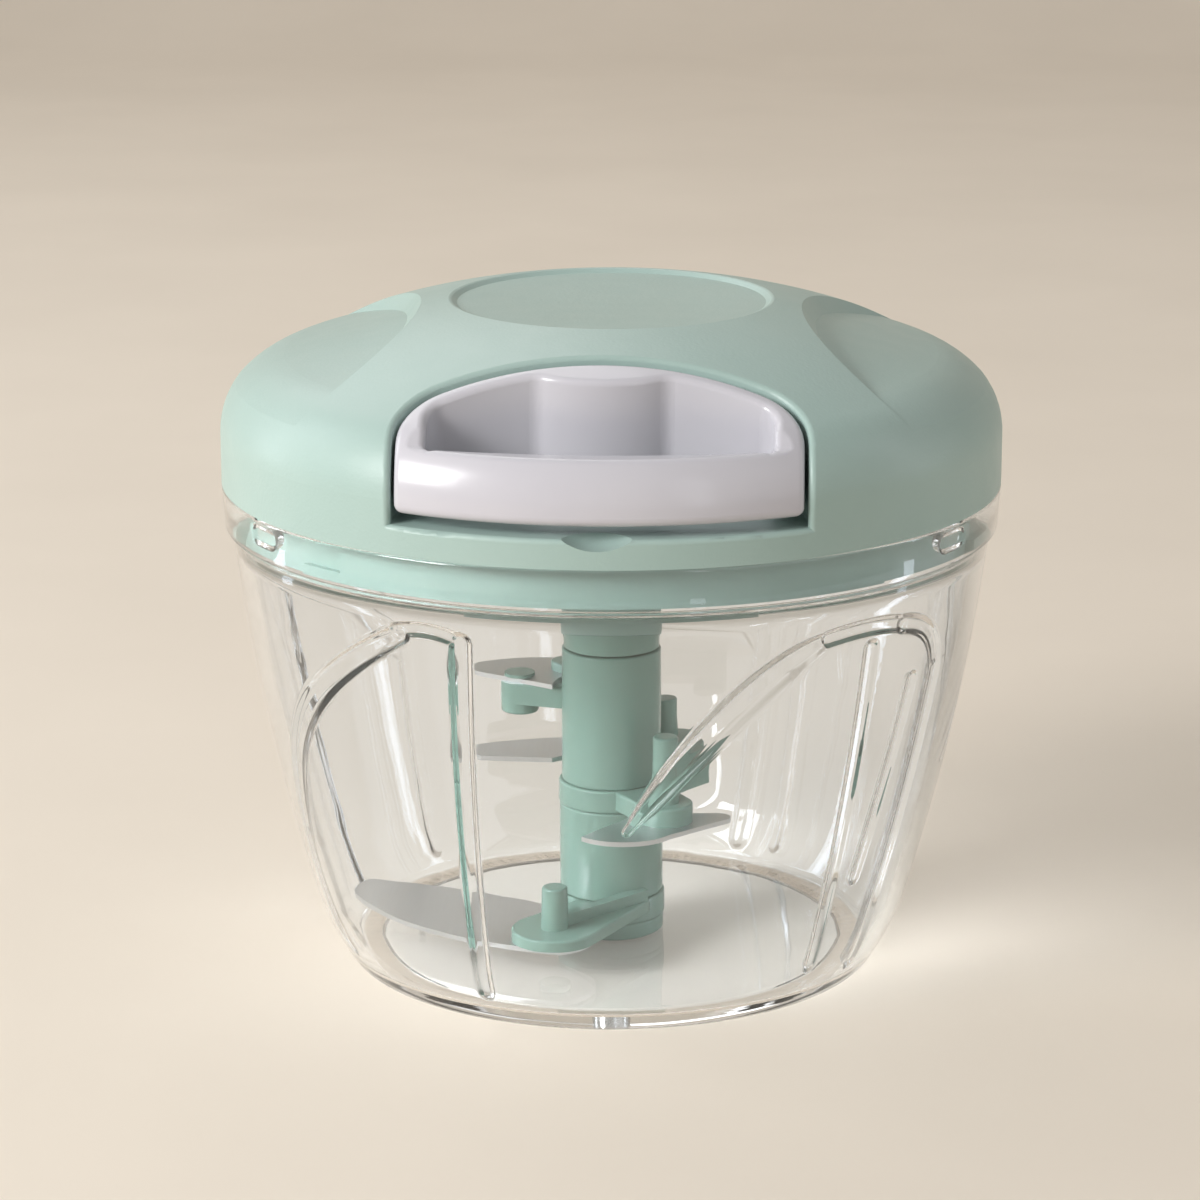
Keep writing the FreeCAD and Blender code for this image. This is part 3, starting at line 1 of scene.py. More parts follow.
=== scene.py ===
"""Looks of a pull-string garlic chopper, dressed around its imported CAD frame.

Everything is in metres in the frame's own axes: the foot stands on z = 0, the axis of the
bowl is the Z axis, and the pull handle points towards -Y.
"""

import json
import logging
import math
from dataclasses import dataclass, field
from enum import Enum
from typing import Sequence

import bmesh
import bpy
import numpy as np
from mathutils import Matrix, Vector
from mathutils.geometry import delaunay_2d_cdt

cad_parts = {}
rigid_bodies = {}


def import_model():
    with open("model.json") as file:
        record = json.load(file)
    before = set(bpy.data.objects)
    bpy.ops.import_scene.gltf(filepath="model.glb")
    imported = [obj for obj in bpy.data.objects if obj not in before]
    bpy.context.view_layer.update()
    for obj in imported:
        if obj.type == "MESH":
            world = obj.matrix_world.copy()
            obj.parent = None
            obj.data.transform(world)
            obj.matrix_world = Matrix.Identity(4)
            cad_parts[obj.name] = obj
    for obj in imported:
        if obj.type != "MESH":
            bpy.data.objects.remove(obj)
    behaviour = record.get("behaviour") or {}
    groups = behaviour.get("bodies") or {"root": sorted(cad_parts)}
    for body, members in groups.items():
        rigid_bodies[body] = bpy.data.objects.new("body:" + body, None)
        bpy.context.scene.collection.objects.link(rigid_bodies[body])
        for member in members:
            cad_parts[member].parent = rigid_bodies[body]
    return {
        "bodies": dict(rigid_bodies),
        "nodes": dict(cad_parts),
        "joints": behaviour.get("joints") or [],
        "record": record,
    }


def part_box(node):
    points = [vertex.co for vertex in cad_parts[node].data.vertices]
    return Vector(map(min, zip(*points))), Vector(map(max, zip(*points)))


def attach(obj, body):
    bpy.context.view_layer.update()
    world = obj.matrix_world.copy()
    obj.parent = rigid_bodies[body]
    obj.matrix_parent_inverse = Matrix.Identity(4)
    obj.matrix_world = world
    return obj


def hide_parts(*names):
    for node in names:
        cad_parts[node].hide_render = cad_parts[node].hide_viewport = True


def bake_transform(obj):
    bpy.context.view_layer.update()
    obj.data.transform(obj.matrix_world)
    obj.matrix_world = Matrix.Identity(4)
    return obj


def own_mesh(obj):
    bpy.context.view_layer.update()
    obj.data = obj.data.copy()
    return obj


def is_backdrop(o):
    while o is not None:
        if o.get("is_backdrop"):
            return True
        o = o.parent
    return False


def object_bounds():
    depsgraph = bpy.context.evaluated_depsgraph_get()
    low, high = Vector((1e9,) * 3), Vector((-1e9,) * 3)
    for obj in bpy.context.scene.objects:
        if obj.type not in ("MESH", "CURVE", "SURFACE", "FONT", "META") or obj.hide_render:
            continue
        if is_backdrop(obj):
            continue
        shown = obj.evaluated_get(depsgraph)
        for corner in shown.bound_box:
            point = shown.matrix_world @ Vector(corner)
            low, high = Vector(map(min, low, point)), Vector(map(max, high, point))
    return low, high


log = logging.getLogger("chopper")

MM = 0.001

Profile = Sequence[tuple[float, float]]
Path = list[tuple[float, float, float]]


class Body(Enum):
    """Bodies of the frame that the pieces made here ride on."""

    BOWL = "bowl"
    LID = "lid"
    HANDLE = "handle"
    HUB = "hub"


class Finish(Enum):
    """Finishes of the pieces, each with the material slot of the record that it belongs to."""

    LID = ("lid", "lid_green")
    # The skirt's finish is a darker copy of the lid's green: painted shade for where it sits under the lid,
    # behind the clear band.
    SHADED_SKIRT = ("skirt", "lid_green")
    GRIP = ("grip", "handle_white")
    TOWER = ("tower", "blade_green")
    NATURAL = ("natural", "inner_white")
    BOWL = ("bowl", "bowl_clear")
    TURNED = ("turned", "steel")
    SPRING = ("spring", "spring_steel")
    BLADE = ("blade", "blade_steel")
    SEAL = ("seal", "seal_rubber")
    CORD = ("cord", "cord_white")

    @property
    def slot(self) -> str:
        """Material slot of the record."""
        return self.value[1]


def linear(value: int) -> float:
    """Linear light of a display value from 0 to 255, by the sRGB curve."""
    share = value / 255
    return share / 12.92 if share <= 0.04045 else ((share + 0.055) / 1.055) ** 2.4


def paint(red: int, green: int, blue: int) -> tuple[float, float, float, float]:
    """Linear colour of a paint given in display values from 0 to 255."""
    return (linear(red), linear(green), linear(blue), 1.0)


class Bench:
    """Lays out the nodes of one tree."""

    family = "ShaderNode"

    def __init__(self, tree: bpy.types.NodeTree) -> None:
        """Starts on a tree."""
        self.tree = tree

    def feed(self, node: bpy.types.Node, name: str | int, value: object) -> None:
        """Fills one input of a node.

        Args:
            node: the node.
            name: the input's name or number.
            value: a socket, which is linked, or anything else, which is set.
        """
        if isinstance(value, bpy.types.NodeSocket):
            self.tree.links.new(value, node.inputs[name])
        else:
            node.inputs[name].default_value = value

    def add(self, kind: str, **values: object) -> bpy.types.Node:
        """Adds a node.

        Args:
            kind: its type, without the family's name in front.
            values: its inputs by name, with spaces written as underscores.

        Returns:
            The new node.
        """
        node = self.tree.nodes.new(self.family + kind)
        for name, value in values.items():
            self.feed(node, name.replace("_", " "), value)
        return node

    def shader(self, kind: str, *values: object) -> bpy.types.Node:
        """Adds a shader node, which other trees take too.

        Args:
            kind: its type, after "ShaderNode".
            values: its first inputs, in order.

        Returns:
            The new node.
        """
        node = self.tree.nodes.new("ShaderNode" + kind)
        for number, value in enumerate(values):
            self.feed(node, number, value)
        return node

    def maths(self, operation: str, *values: object) -> bpy.types.NodeSocket:
        """Does one sum with a Math node.

        Args:
            operation: the sum.
            values: its one or two numbers.

        Returns:
            The result.
        """
        node = self.shader("Math", *values)
        node.operation = operation
        return node.outputs[0]

    def looked_at(self) -> bpy.types.NodeSocket:
        """Picks out the rays that carry what is seen.

        Returns:
            1 for a ray straight from the camera, off a shiny surface or through clear plastic.
        """
        path = self.add("LightPath").outputs
        straight = self.maths("MAXIMUM", path["Is Camera Ray"], path["Is Glossy Ray"])
        return self.maths("MAXIMUM", straight, path["Is Transmission Ray"])


class MaterialBench(Bench):
    """Lays out one material's nodes."""

    noise_low = 0.3
    noise_high = 0.7

    def __init__(self, name: str) -> None:
        """Starts an empty material.

        Args:
            name: the material's name.
        """
        self.material = bpy.data.materials.new(name)
        self.material.use_nodes = True
        super().__init__(self.material.node_tree)
        self.tree.nodes.clear()
        self.output = self.add("OutputMaterial")

    def noise(self, size: float, detail: float = 2.0, vector: object = None) -> bpy.types.NodeSocket:
        """Even noise.

        Args:
            size: width of one blot, in metres.
            detail: octaves under it.
            vector: where it is read, or None for the place on the piece.

        Returns:
            The noise's value.
        """
        where = self.add("TexCoord").outputs["Object"] if vector is None else vector
        return self.add("TexNoise", Vector=where, Scale=1 / size, Detail=detail).outputs["Fac"]

    def spread(self, value: bpy.types.NodeSocket, low: float, high: float) -> bpy.types.NodeSocket:
        """Stretches the middle of a noise over a range."""
        source = {"From_Min": self.noise_low, "From_Max": self.noise_high}
        return self.add("MapRange", Value=value, To_Min=low, To_Max=high, **source).outputs["Result"]

    def blend(self, share: object, first: Sequence[float], second: Sequence[float]) -> bpy.types.NodeSocket:
        """Mixes two colours.

        Args:
            share: how much of the second.
            first: one colour.
            second: the other.

        Returns:
            The mixed colour.
        """
        node = self.add("Mix")
        node.data_type = "RGBA"
        self.feed(node, 0, share)
        # Numbers of the node's colour sockets
        first_colour, second_colour, mixed = 6, 7, 2
        node.inputs[first_colour].default_value = first
        node.inputs[second_colour].default_value = second
        return node.outputs[mixed]

    def bump(self, height: bpy.types.NodeSocket, depth: float) -> bpy.types.NodeSocket:
        """Normal of a surface that rises by depth metres where height is 1."""
        return self.add("Bump", Height=height, Distance=depth, Strength=1.0).outputs["Normal"]

    def finish(self, shader: bpy.types.NodeSocket) -> bpy.types.Material:
        """Shows a shader and hands back the material."""
        self.feed(self.output, "Surface", shader)
        return self.material


@dataclass(frozen=True)
class MouldedPlastic:
    """Opaque moulded plastic with a fine tool grain and slightly uneven colour and sheen."""

    name: str
    colour: tuple[int, int, int]
    shade: tuple[int, int, int]
    roughness: float
    grain: float
    grain_depth: float
    subsurface: float = 0.05
    cloud: float = 24 * MM
    smear: float = 5 * MM
    scatter: float = 1.5 * MM
    smoother: float = 0.03
    rougher: float = 0.04
    ior: float = 1.5

    def material(self) -> bpy.types.Material:
        """Builds the material.

        Returns:
            The new material.
        """
        bench = MaterialBench(self.name)
        cloud = bench.spread(bench.noise(self.cloud), 0.0, 1.0)
        colour = bench.blend(cloud, paint(*self.colour), paint(*self.shade))
        smear = bench.noise(self.smear, detail=3.0)
        sheen = bench.spread(smear, self.roughness - self.smoother, self.roughness + self.rougher)
        normal = bench.bump(bench.noise(self.grain, detail=1.0), self.grain_depth)
        shader = bench.add("BsdfPrincipled", Base_Color=colour, Roughness=sheen, IOR=self.ior, Normal=normal)
        bench.feed(shader, "Subsurface Weight", self.subsurface)
        bench.feed(shader, "Subsurface Radius", (1.0, 1.0, 1.0))
        bench.feed(shader, "Subsurface Scale", self.scatter)
        return bench.finish(shader.outputs["BSDF"])


@dataclass(frozen=True)
class ClearPlastic:
    """Polished clear plastic that lets the lamps through to what is behind it."""

    name: str
    tint: tuple[int, int, int]
    ior: float
    roughness: float
    flow: float = 9 * MM
    flow_depth: float = 0.02 * MM
    shadow: tuple[float, float, float, float] = (0.93, 0.94, 0.95, 1.0)

    def material(self) -> bpy.types.Material:
        """Builds the material.

        Returns:
            The new material.
        """
        bench = MaterialBench(self.name)
        flow = bench.bump(bench.noise(self.flow, detail=1.0), self.flow_depth)
        clear = bench.add("BsdfPrincipled", Roughness=self.roughness, IOR=self.ior, Normal=flow)
        bench.feed(clear, "Base Color", paint(*self.tint))
        bench.feed(clear, "Transmission Weight", 1.0)
        lamp = bench.add("BsdfTransparent", Color=self.shadow)
        in_shadow = bench.add("LightPath").outputs["Is Shadow Ray"]
        both = bench.shader("MixShader", in_shadow, clear.outputs["BSDF"], lamp.outputs["BSDF"])
        return bench.finish(both.outputs["Shader"])


@dataclass(frozen=True)
class Steel:
    """Bright steel with fine lines left by the grinder."""

    name: str
    colour: tuple[int, int, int]
    roughness: float
    change: float
    line: float
    along: tuple[float, float, float]
    depth: float

    def material(self) -> bpy.types.Material:
        """Builds the material.

        Returns:
            The new material.
        """
        bench = MaterialBench(self.name)
        place = bench.add("TexCoord").outputs["Object"]
        stretched = bench.add("Mapping", Vector=place, Scale=self.along)
        lines = bench.noise(self.line, vector=stretched.outputs["Vector"])
        sheen = bench.spread(lines, self.roughness - self.change, self.roughness + self.change)
        normal = bench.bump(lines, self.depth)
        shader = bench.add("BsdfPrincipled", Metallic=1.0, Roughness=sheen, Normal=normal)
        bench.feed(shader, "Base Color", paint(*self.colour))
        return bench.finish(shader.outputs["BSDF"])


@dataclass(frozen=True)
class Matt:
    """Matt rubber or yarn: two close colours in fine blots that stand up a little."""

    name: str
    colour: tuple[int, int, int]
    shade: tuple[int, int, int]
    roughness: float
    blot: float
    blot_detail: float
    grain: float
    grain_detail: float
    grain_depth: float
    sheen: float = 0.0

    def material(self) -> bpy.types.Material:
        """Builds the material.

        Returns:
            The new material.
        """
        bench = MaterialBench(self.name)
        blots = bench.spread(bench.noise(self.blot, self.blot_detail), 0.0, 1.0)
        colour = bench.blend(blots, paint(*self.colour), paint(*self.shade))
        normal = bench.bump(bench.noise(self.grain, self.grain_detail), self.grain_depth)
        shader = bench.add("BsdfPrincipled", Base_Color=colour, Roughness=self.roughness, Normal=normal)
        bench.feed(shader, "Sheen Weight", self.sheen)
        return bench.finish(shader.outputs["BSDF"])


class Wardrobe:
    """Every finish of the chopper, each made once."""

    def __init__(self) -> None:
        """Lists the finishes; a material is made when it is first asked for."""
        turned, wound, ground = (1.0, 1.0, 8.0), (1.0, 1.0, 0.2), (1.0, 0.04, 1.0)
        yarn = 0.16 * MM
        self.finishes = {
            Finish.LID: MouldedPlastic(
                "LidGreen", (172, 195, 188), (167, 191, 184), 0.38, 0.6 * MM, 0.035 * MM
            ),
            # Same plastic as the lid, darkened as painted shade of the skirt under the lid, seen through the
            # bowl's rim band.
            Finish.SHADED_SKIRT: MouldedPlastic(
                "SkirtGreenPaintedShade", (139, 163, 153), (134, 159, 149), 0.36, 0.8 * MM, 0.006 * MM
            ),
            Finish.GRIP: MouldedPlastic(
                "GripWhite", (209, 207, 213), (205, 203, 210), 0.2, 1.2 * MM, 0.004 * MM
            ),
            Finish.TOWER: MouldedPlastic(
                "TowerGreen", (116, 144, 132), (111, 140, 128), 0.15, 1.5 * MM, 0.006 * MM
            ),
            Finish.NATURAL: MouldedPlastic(
                "NaturalWhite", (226, 228, 224), (220, 222, 218), 0.35, 0.8 * MM, 0.006 * MM, 0.1
            ),
            Finish.BOWL: ClearPlastic("ClearBowl", (249, 252, 255), 1.53, 0.015),
            Finish.TURNED: Steel("TurnedSteel", (200, 200, 198), 0.25, 0.05, 0.5 * MM, turned, 0.004 * MM),
            Finish.SPRING: Steel("SpringSteel", (168, 170, 174), 0.3, 0.05, 0.4 * MM, wound, 0.004 * MM),
            Finish.BLADE: Steel("GroundBlade", (205, 206, 206), 0.34, 0.03, 0.5 * MM, ground, 0.0006 * MM),
            Finish.SEAL: Matt(
                "SealRubber", (120, 130, 134), (134, 144, 148), 0.62, 2 * MM, 4.0, 0.3 * MM, 1.0, 0.01 * MM
            ),
            Finish.CORD: Matt(
                "CordFibre", (206, 202, 194), (236, 234, 228), 0.72, yarn, 2.0, yarn, 2.0, 0.02 * MM, 0.3
            ),
        }
        self.made: dict[Finish, bpy.types.Material] = {}

    def __getitem__(self, finish: Finish) -> bpy.types.Material:
        """Hands out a material, made at its first use.

        Args:
            finish: which one.

        Returns:
            The material.
        """
        if finish not in self.made:
            self.made[finish] = self.finishes[finish].material()
        return self.made[finish]


def placed(name: str, data: bpy.types.ID) -> bpy.types.Object:
    """Puts data into the scene.

    Args:
        name: the new object's name.
        data: its mesh, lamp or camera.

    Returns:
        The new object, at the origin.
    """
    holder = bpy.data.objects.new(name, data)
    bpy.context.scene.collection.objects.link(holder)
    return holder


def new_piece(name: str, mesh: bmesh.types.BMesh, finish: bpy.types.Material) -> bpy.types.Object:
    """Makes a mesh drawn in millimetres into a smooth piece in metres.

    Args:
        name: the piece's name.
        mesh: its faces; it is freed.
        finish: its material.

    Returns:
        The new object, linked to the scene.
    """
    bmesh.ops.scale(mesh, vec=(MM, MM, MM), verts=mesh.verts)
    data = bpy.data.meshes.new(name)
    mesh.to_mesh(data)
    mesh.free()
    data.shade_smooth()
    data.materials.append(finish)
    return placed(name, data)


@dataclass(frozen=True)
class Ring:
    """Circle in the plane of a profile."""

    r: float
    z: float
    radius: float

    def point(self, angle: float, grow: float = 0.0) -> tuple[float, float]:
        """Radius and height of a point on the circle, or on one grown by a distance."""
        reach = self.radius + grow
        return (self.r + reach * math.cos(angle), self.z + reach * math.sin(angle))

    def angle_of(self, r: float, z: float) -> float:
        """Angle of a point seen from the centre."""
        return math.atan2(z - self.z, r - self.r)

    def angle_at(self, z: float, grow: float = 0.0) -> float:
        """Angle at which the grown circle reaches a height."""
        return math.asin((z - self.z) / (self.radius + grow))

    def run(self, start: float, end: float, count: int, grow: float = 0.0) -> Profile:
        """Evenly spread points from one angle to another, both ends among them."""
        return [self.point(a, grow) for a in np.linspace(start, end, count)]


@dataclass(frozen=True)
class Rib:
    """Raised bead on the bowl's inner skin: bearings and heights that its middle line passes."""

    bearings: tuple[float, ...]
    heights: tuple[float, ...]
    width: float
    taper: float = 0.0
    proud: float = 0.95
    flat: float = 0.38
    least_points: int = 4
    leaf_end: float = 0.015
    leaf_power: float = 0.6
    cap_points: int = 7
    round_from: float = 0.25

    def line(self, spacing: float, wall: "Unrolled") -> tuple[np.ndarray, np.ndarray]:
        """Middle line on the unrolled wall.

        Args:
            spacing: distance between its points, in millimetres.
            wall: the unrolled wall.

        Returns:
            Its points, and half the bead's width at each.
        """
        order = len(self.bearings) - 1
        knots = np.linspace(0.0, 1.0, order + 1)
        rough = wall.flat(self.bearings, self.heights)
        length = float(np.hypot(*np.diff(rough, axis=0).T).sum())
        share = np.linspace(0.0, 1.0, max(self.least_points, int(length / spacing)))
        bearing = np.polyval(np.polyfit(knots, self.bearings, order), share)
        height = np.polyval(np.polyfit(knots, self.heights, order), share)
        leaf = np.sin(np.pi * np.clip(share, self.leaf_end, 1 - self.leaf_end)) ** self.leaf_power
        half = self.width / 2 * (1 - self.taper + self.taper * leaf)
        return wall.flat(bearing, height), half

    def contour(self, share: float, points: np.ndarray, half: np.ndarray) -> np.ndarray:
        """Closed line round the middle line, with round ends where it is wide enough.

        Args:
            share: its distance from the middle line, as a share of the bead's half width.
            points: the middle line.
            half: half the bead's width at its points.

        Returns:
            The closed line's points.
        """
        along = np.gradient(points, axis=0)
        along /= np.hypot(along[:, 0], along[:, 1])[:, None]
        across = np.stack([-along[:, 1], along[:, 0]], axis=1)
        side = across * half[:, None] * share
        arc = np.radians(np.linspace(90, -90, self.cap_points)[1:-1])
        caps = []
        for end, way in ((-1, 1.0), (0, -1.0)):
            reach = half[end] * share
            turns = arc if reach > self.round_from else (0.0,)
            ahead, left = along[end] * way, across[end] * way
            caps.append([points[end] + reach * (ahead * math.cos(a) + left * math.sin(a)) for a in turns])
        return np.vstack([points + side, caps[0], (points - side)[::-1], caps[1]])

    def reach(self, spots: np.ndarray, points: np.ndarray, half: np.ndarray) -> tuple[np.ndarray, np.ndarray]:
        """Measures how far spots lie from the middle line.

        Args:
            spots: places on the unrolled wall.
            points: the middle line.
            half: half the bead's width at its points.

        Returns:
            The distances in half widths, and how full the bead is at each.
        """
        start, run = points[:-1], np.diff(points, axis=0)
        away = spots[:, None, :] - start[None]
        share = np.clip((away * run[None]).sum(axis=2) / (run**2).sum(axis=1)[None], 0.0, 1.0)
        gap = away - share[..., None] * run[None]
        wide = half[:-1][None] * (1 - share) + half[1:][None] * share
        near = np.hypot(gap[..., 0], gap[..., 1]) / wide
        nearest = near.argmin(axis=1)[:, None]
        full = np.take_along_axis(wide, nearest, axis=1)[:, 0] / half.max()
        return np.take_along_axis(near, nearest, axis=1)[:, 0], full

    def rise(self, reach: np.ndarray, full: np.ndarray) -> np.ndarray:
        """Height of the bead at a distance from its middle line, lower where it narrows."""
        step = np.clip((1.0 - reach) / (1.0 - self.flat), 0.0, 1.0)
        return self.proud * full * step * step * (3 - 2 * step)


@dataclass
class Unrolled:
    """The bowl's inner skin laid flat: sideways round the bowl, downwards along the profile."""

    profile: np.ndarray
    seam: float
    middle_r: float = 56.0
    probe: float = 0.05

    def __post_init__(self) -> None:
        """Measures the way down the profile."""
        run = np.hypot(*np.diff(self.profile, axis=0).T)
        self.down = np.concatenate(([0.0], np.cumsum(run)))

    @property
    def width(self) -> float:
        """Length of one turn on the flat."""
        return 2 * math.pi * self.middle_r

    def flat(self, bearings: Sequence[float], heights: Sequence[float]) -> np.ndarray:
        """Lays points on the flat.

        Args:
            bearings: their bearings, in degrees.
            heights: their heights.

        Returns:
            Their places on the flat.
        """
        turn = np.radians((np.asarray(bearings) - self.seam) % 360)
        down = np.interp(-np.asarray(heights), -self.profile[:, 1], self.down)
        return np.stack([turn * self.middle_r, down], axis=1)

    def section(self, down: np.ndarray) -> list[np.ndarray]:
        """Radii and heights of the profile at distances down it."""
        return [np.interp(down, self.down, self.profile[:, axis]) for axis in (0, 1)]

    def solid(self, spots: np.ndarray, swell: np.ndarray) -> np.ndarray:
        """Bends the flat back round the bowl.

        Args:
            spots: places on the flat.
            swell: how far each is moved into the bowl.

        Returns:
            Their places in space.
        """
        turn = np.radians(self.seam) + spots[:, 0] / self.middle_r
        low = self.section(np.clip(spots[:, 1] - self.probe, 0, self.down[-1]))
        high = self.section(np.clip(spots[:, 1] + self.probe, 0, self.down[-1]))
        dr, dz = high[0] - low[0], high[1] - low[1]
        length = np.hypot(dr, dz)
        r, z = self.section(spots[:, 1])
        r = r + swell * dz / length
        z = z - swell * dr / length
        return np.stack([np.sin(turn) * r, -np.cos(turn) * r, z], axis=1)


@dataclass
class ClearBowl:
    """Tapered clear bowl: foot ring, floor, ribbed wall and rim band, all one closed skin."""

    rim_r: float = 65.0
    height: float = 82.3
    wall: float = 2.4
    rim_wall: float = 2.7
    rim_round: float = 0.6
    band_height: float = 7.1
    band_slope: float = 1.2
    band_edge: float = 1.2
    wall_top_r: float = 63.3
    wall_low: tuple[float, float] = (50.5, 12.0)
    wall_bend: float = 380.0
    foot_r: float = 44.6
    foot_in: float = 39.0
    recess: float = 0.8
    floor_top: float = 3.0
    bevel: float = 0.3
    bevel_middle: float = 0.08
    foot_inner_side: Profile = ((-0.3, 0.8), (0.0, 0.8), (0.25, 0.7), (0.3, 0.15), (0.6, 0.0))
    foot_outer_side: Profile = ((-0.5, 0.0), (-0.12, 0.08))
    slope_soft: tuple[float, float] = (0.12, 0.06)
    ledge_soft: tuple[float, float] = (0.25, 0.06)
    fall: float = 0.001
    skip_turn: float = 0.0008
    foot_skip_turn: float = 0.02
    under_rings: tuple[float, ...] = (10.0, 20.0, 30.0)
    floor_rings: tuple[float, ...] = (12.0, 24.0)
    floor_rim: float = 3.0
    columns: int = 240
    side_points: int = 22
    corner_points: int = 10
    round_points: int = 4
    inner_side_points: int = 24
    inner_corner_points: int = 14
    band_points: int = 4
    seam: float = -85.0
    rib_spacing: float = 0.8
    rib_clear: float = 0.5
    rib_merge: int = 4
    weld: float = 0.004
    plan_weld: float = 1e-4
    rib_levels: tuple[float, ...] = (1.08, 0.98, 0.86, 0.72, 0.57, 0.4, 0.2)
    ribs: tuple[Rib, ...] = (
        Rib((-20.7, -23.9), (68.5, 6.3), 4.2),
        Rib((44.7, 44.7), (64.6, 8.4), 3.4),
        Rib((62.8, 59.2), (57.0, 6.3), 4.2),
        Rib((56.0, 51.2), (57.0, 23.0), 3.0),
        Rib((144.0, 141.0), (62.0, 6.0), 3.6),
        Rib((151.0, 151.0), (60.0, 6.0), 5.4),
        Rib((224.0, 227.0), (64.0, 6.0), 4.0),
        Rib((258.0, 258.0), (60.0, 6.0), 3.6),
        Rib((37.0, 22.1, 4.5), (68.0, 58.4, 37.4), 6.8, 0.85, 0.9),
        Rib((110.5, 95.6, 78.0), (68.0, 58.4, 37.4), 6.8, 0.85, 0.9),
        Rib((184.0, 169.1, 151.5), (68.0, 58.4, 37.4), 6.8, 0.85, 0.9),
        Rib((257.0, 242.1, 224.5), (68.0, 58.4, 37.4), 6.8, 0.85, 0.9),
        Rib((-31.0, -52.0, -63.0, -68.0), (68.6, 53.5, 39.0, 24.0), 5.8, 0.3, 0.85),
        Rib((-68.0, -67.6, -63.6), (25.5, 14.0, 6.6), 4.6, 0.2, 0.85),
        Rib((-31.5, -26.7, -22.0), (69.2, 70.0, 69.2), 3.0, 0.0, 0.7),
        Rib((36.0, 44.3, 51.6), (67.6, 68.2, 67.2), 3.4, 0.0, 0.75),
        Rib((51.6, 59.0, 62.8), (67.2, 64.0, 57.0), 3.8, 0.0, 0.8),
    )
    lugs: tuple[Rib, ...] = tuple(
        Rib((bearing - 2.3, bearing + 2.3), (79.1, 79.1), 3.2, proud=1.7, flat=0.62)
        for bearing in (61.0, 181.0, 301.0)
    )

    def __post_init__(self) -> None:
        """Finds the circles of the bent wall and of the corner that meets it at the foot."""
        low_r, low_z = self.wall_low
        top_z = self.height - self.band_height - self.band_slope
        chord = Vector((self.wall_top_r - low_r, top_z - low_z))
        middle = Vector((self.wall_top_r + low_r, top_z + low_z)) / 2
        inward = Vector((-chord.y, chord.x)).normalized()
        centre = middle + inward * math.sqrt(self.wall_bend**2 - chord.length_squared / 4)
        self.side = Ring(centre.x, centre.y, self.wall_bend)
        normal = (centre - Vector(self.wall_low)).normalized()
        drop = Vector((self.foot_r, 0.0)) - Vector(self.wall_low)
        radius = drop.length_squared / (2 * drop.dot(normal))
        corner = Vector(self.wall_low) + normal * radius
        self.corner = Ring(corner.x, corner.y, radius)
        self.top_z = top_z
        self.band_z = self.height - self.band_height
        self.band_in = self.rim_r - self.rim_wall

    def outside(self) -> Profile:
        """Profile under the floor, up the outer wall and over the rim.

        Returns:
            Its radii and heights.
        """
        low = self.side.angle_of(*self.wall_low)
        top = self.side.angle_of(self.wall_top_r, self.top_z)
        foot = self.corner.angle_of(self.foot_r, 0.0) + self.foot_skip_turn
        edge = self.rim_r - self.rim_round
        round_z = self.height - self.rim_round
        out, up = self.slope_soft
        points = [(r, self.recess) for r in self.under_rings]
        points += [(self.foot_in + r, z) for r, z in self.foot_inner_side]
        points += [(self.foot_r + r, z) for r, z in self.foot_outer_side]
        points += self.corner.run(foot, self.corner.angle_of(*self.wall_low), self.corner_points)
        points += self.side.run(low, top, self.side_points)[1:]
        points += [(self.wall_top_r + out, self.top_z + up), (edge - out, self.band_z - up)]
        points += [(edge, self.band_z), (edge + self.bevel / 2, self.band_z + self.bevel)]
        points += [(self.rim_r, round_z)]
        rounding = Ring(edge, round_z, self.rim_round)
        points += rounding.run(math.pi / 8, math.pi / 2, self.round_points)
        return points + [(self.band_in + self.bevel, self.height)]

    def inside(self) -> np.ndarray:
        """Profile from the rim's inner edge down the inner wall to the floor's edge.

        Returns:
            Its radii and heights; the heights fall all the way.
        """
        ledge = self.side.angle_at(self.band_z, -self.wall)
        ledge_r = self.side.point(ledge, -self.wall)[0]
        band, middle, (out, down) = self.band_in, self.bevel_middle, self.ledge_soft
        points = [(band + self.bevel, self.height), (band + middle, self.height - middle)]
        points += [(band, self.height - self.bevel)]
        band_ends = (self.height - self.band_edge, self.band_z + self.band_edge)
        points += [(band, z) for z in np.linspace(*band_ends, self.band_points)]
        points += [(band, self.band_z + self.bevel), (band - middle, self.band_z + middle)]
        points += [(band - self.bevel, self.band_z + self.fall)]
        points += [(ledge_r + out, self.band_z), (ledge_r + down, self.band_z - down)]
        low = self.side.angle_of(*self.wall_low)
        points += self.side.run(ledge - self.skip_turn, low, self.inner_side_points, -self.wall)
        start, end = self.corner.angle_of(*self.wall_low), self.corner.angle_at(self.floor_top, -self.wall)
        points += self.corner.run(start, end, self.inner_corner_points, -self.wall)[1:]
        return np.array(points)

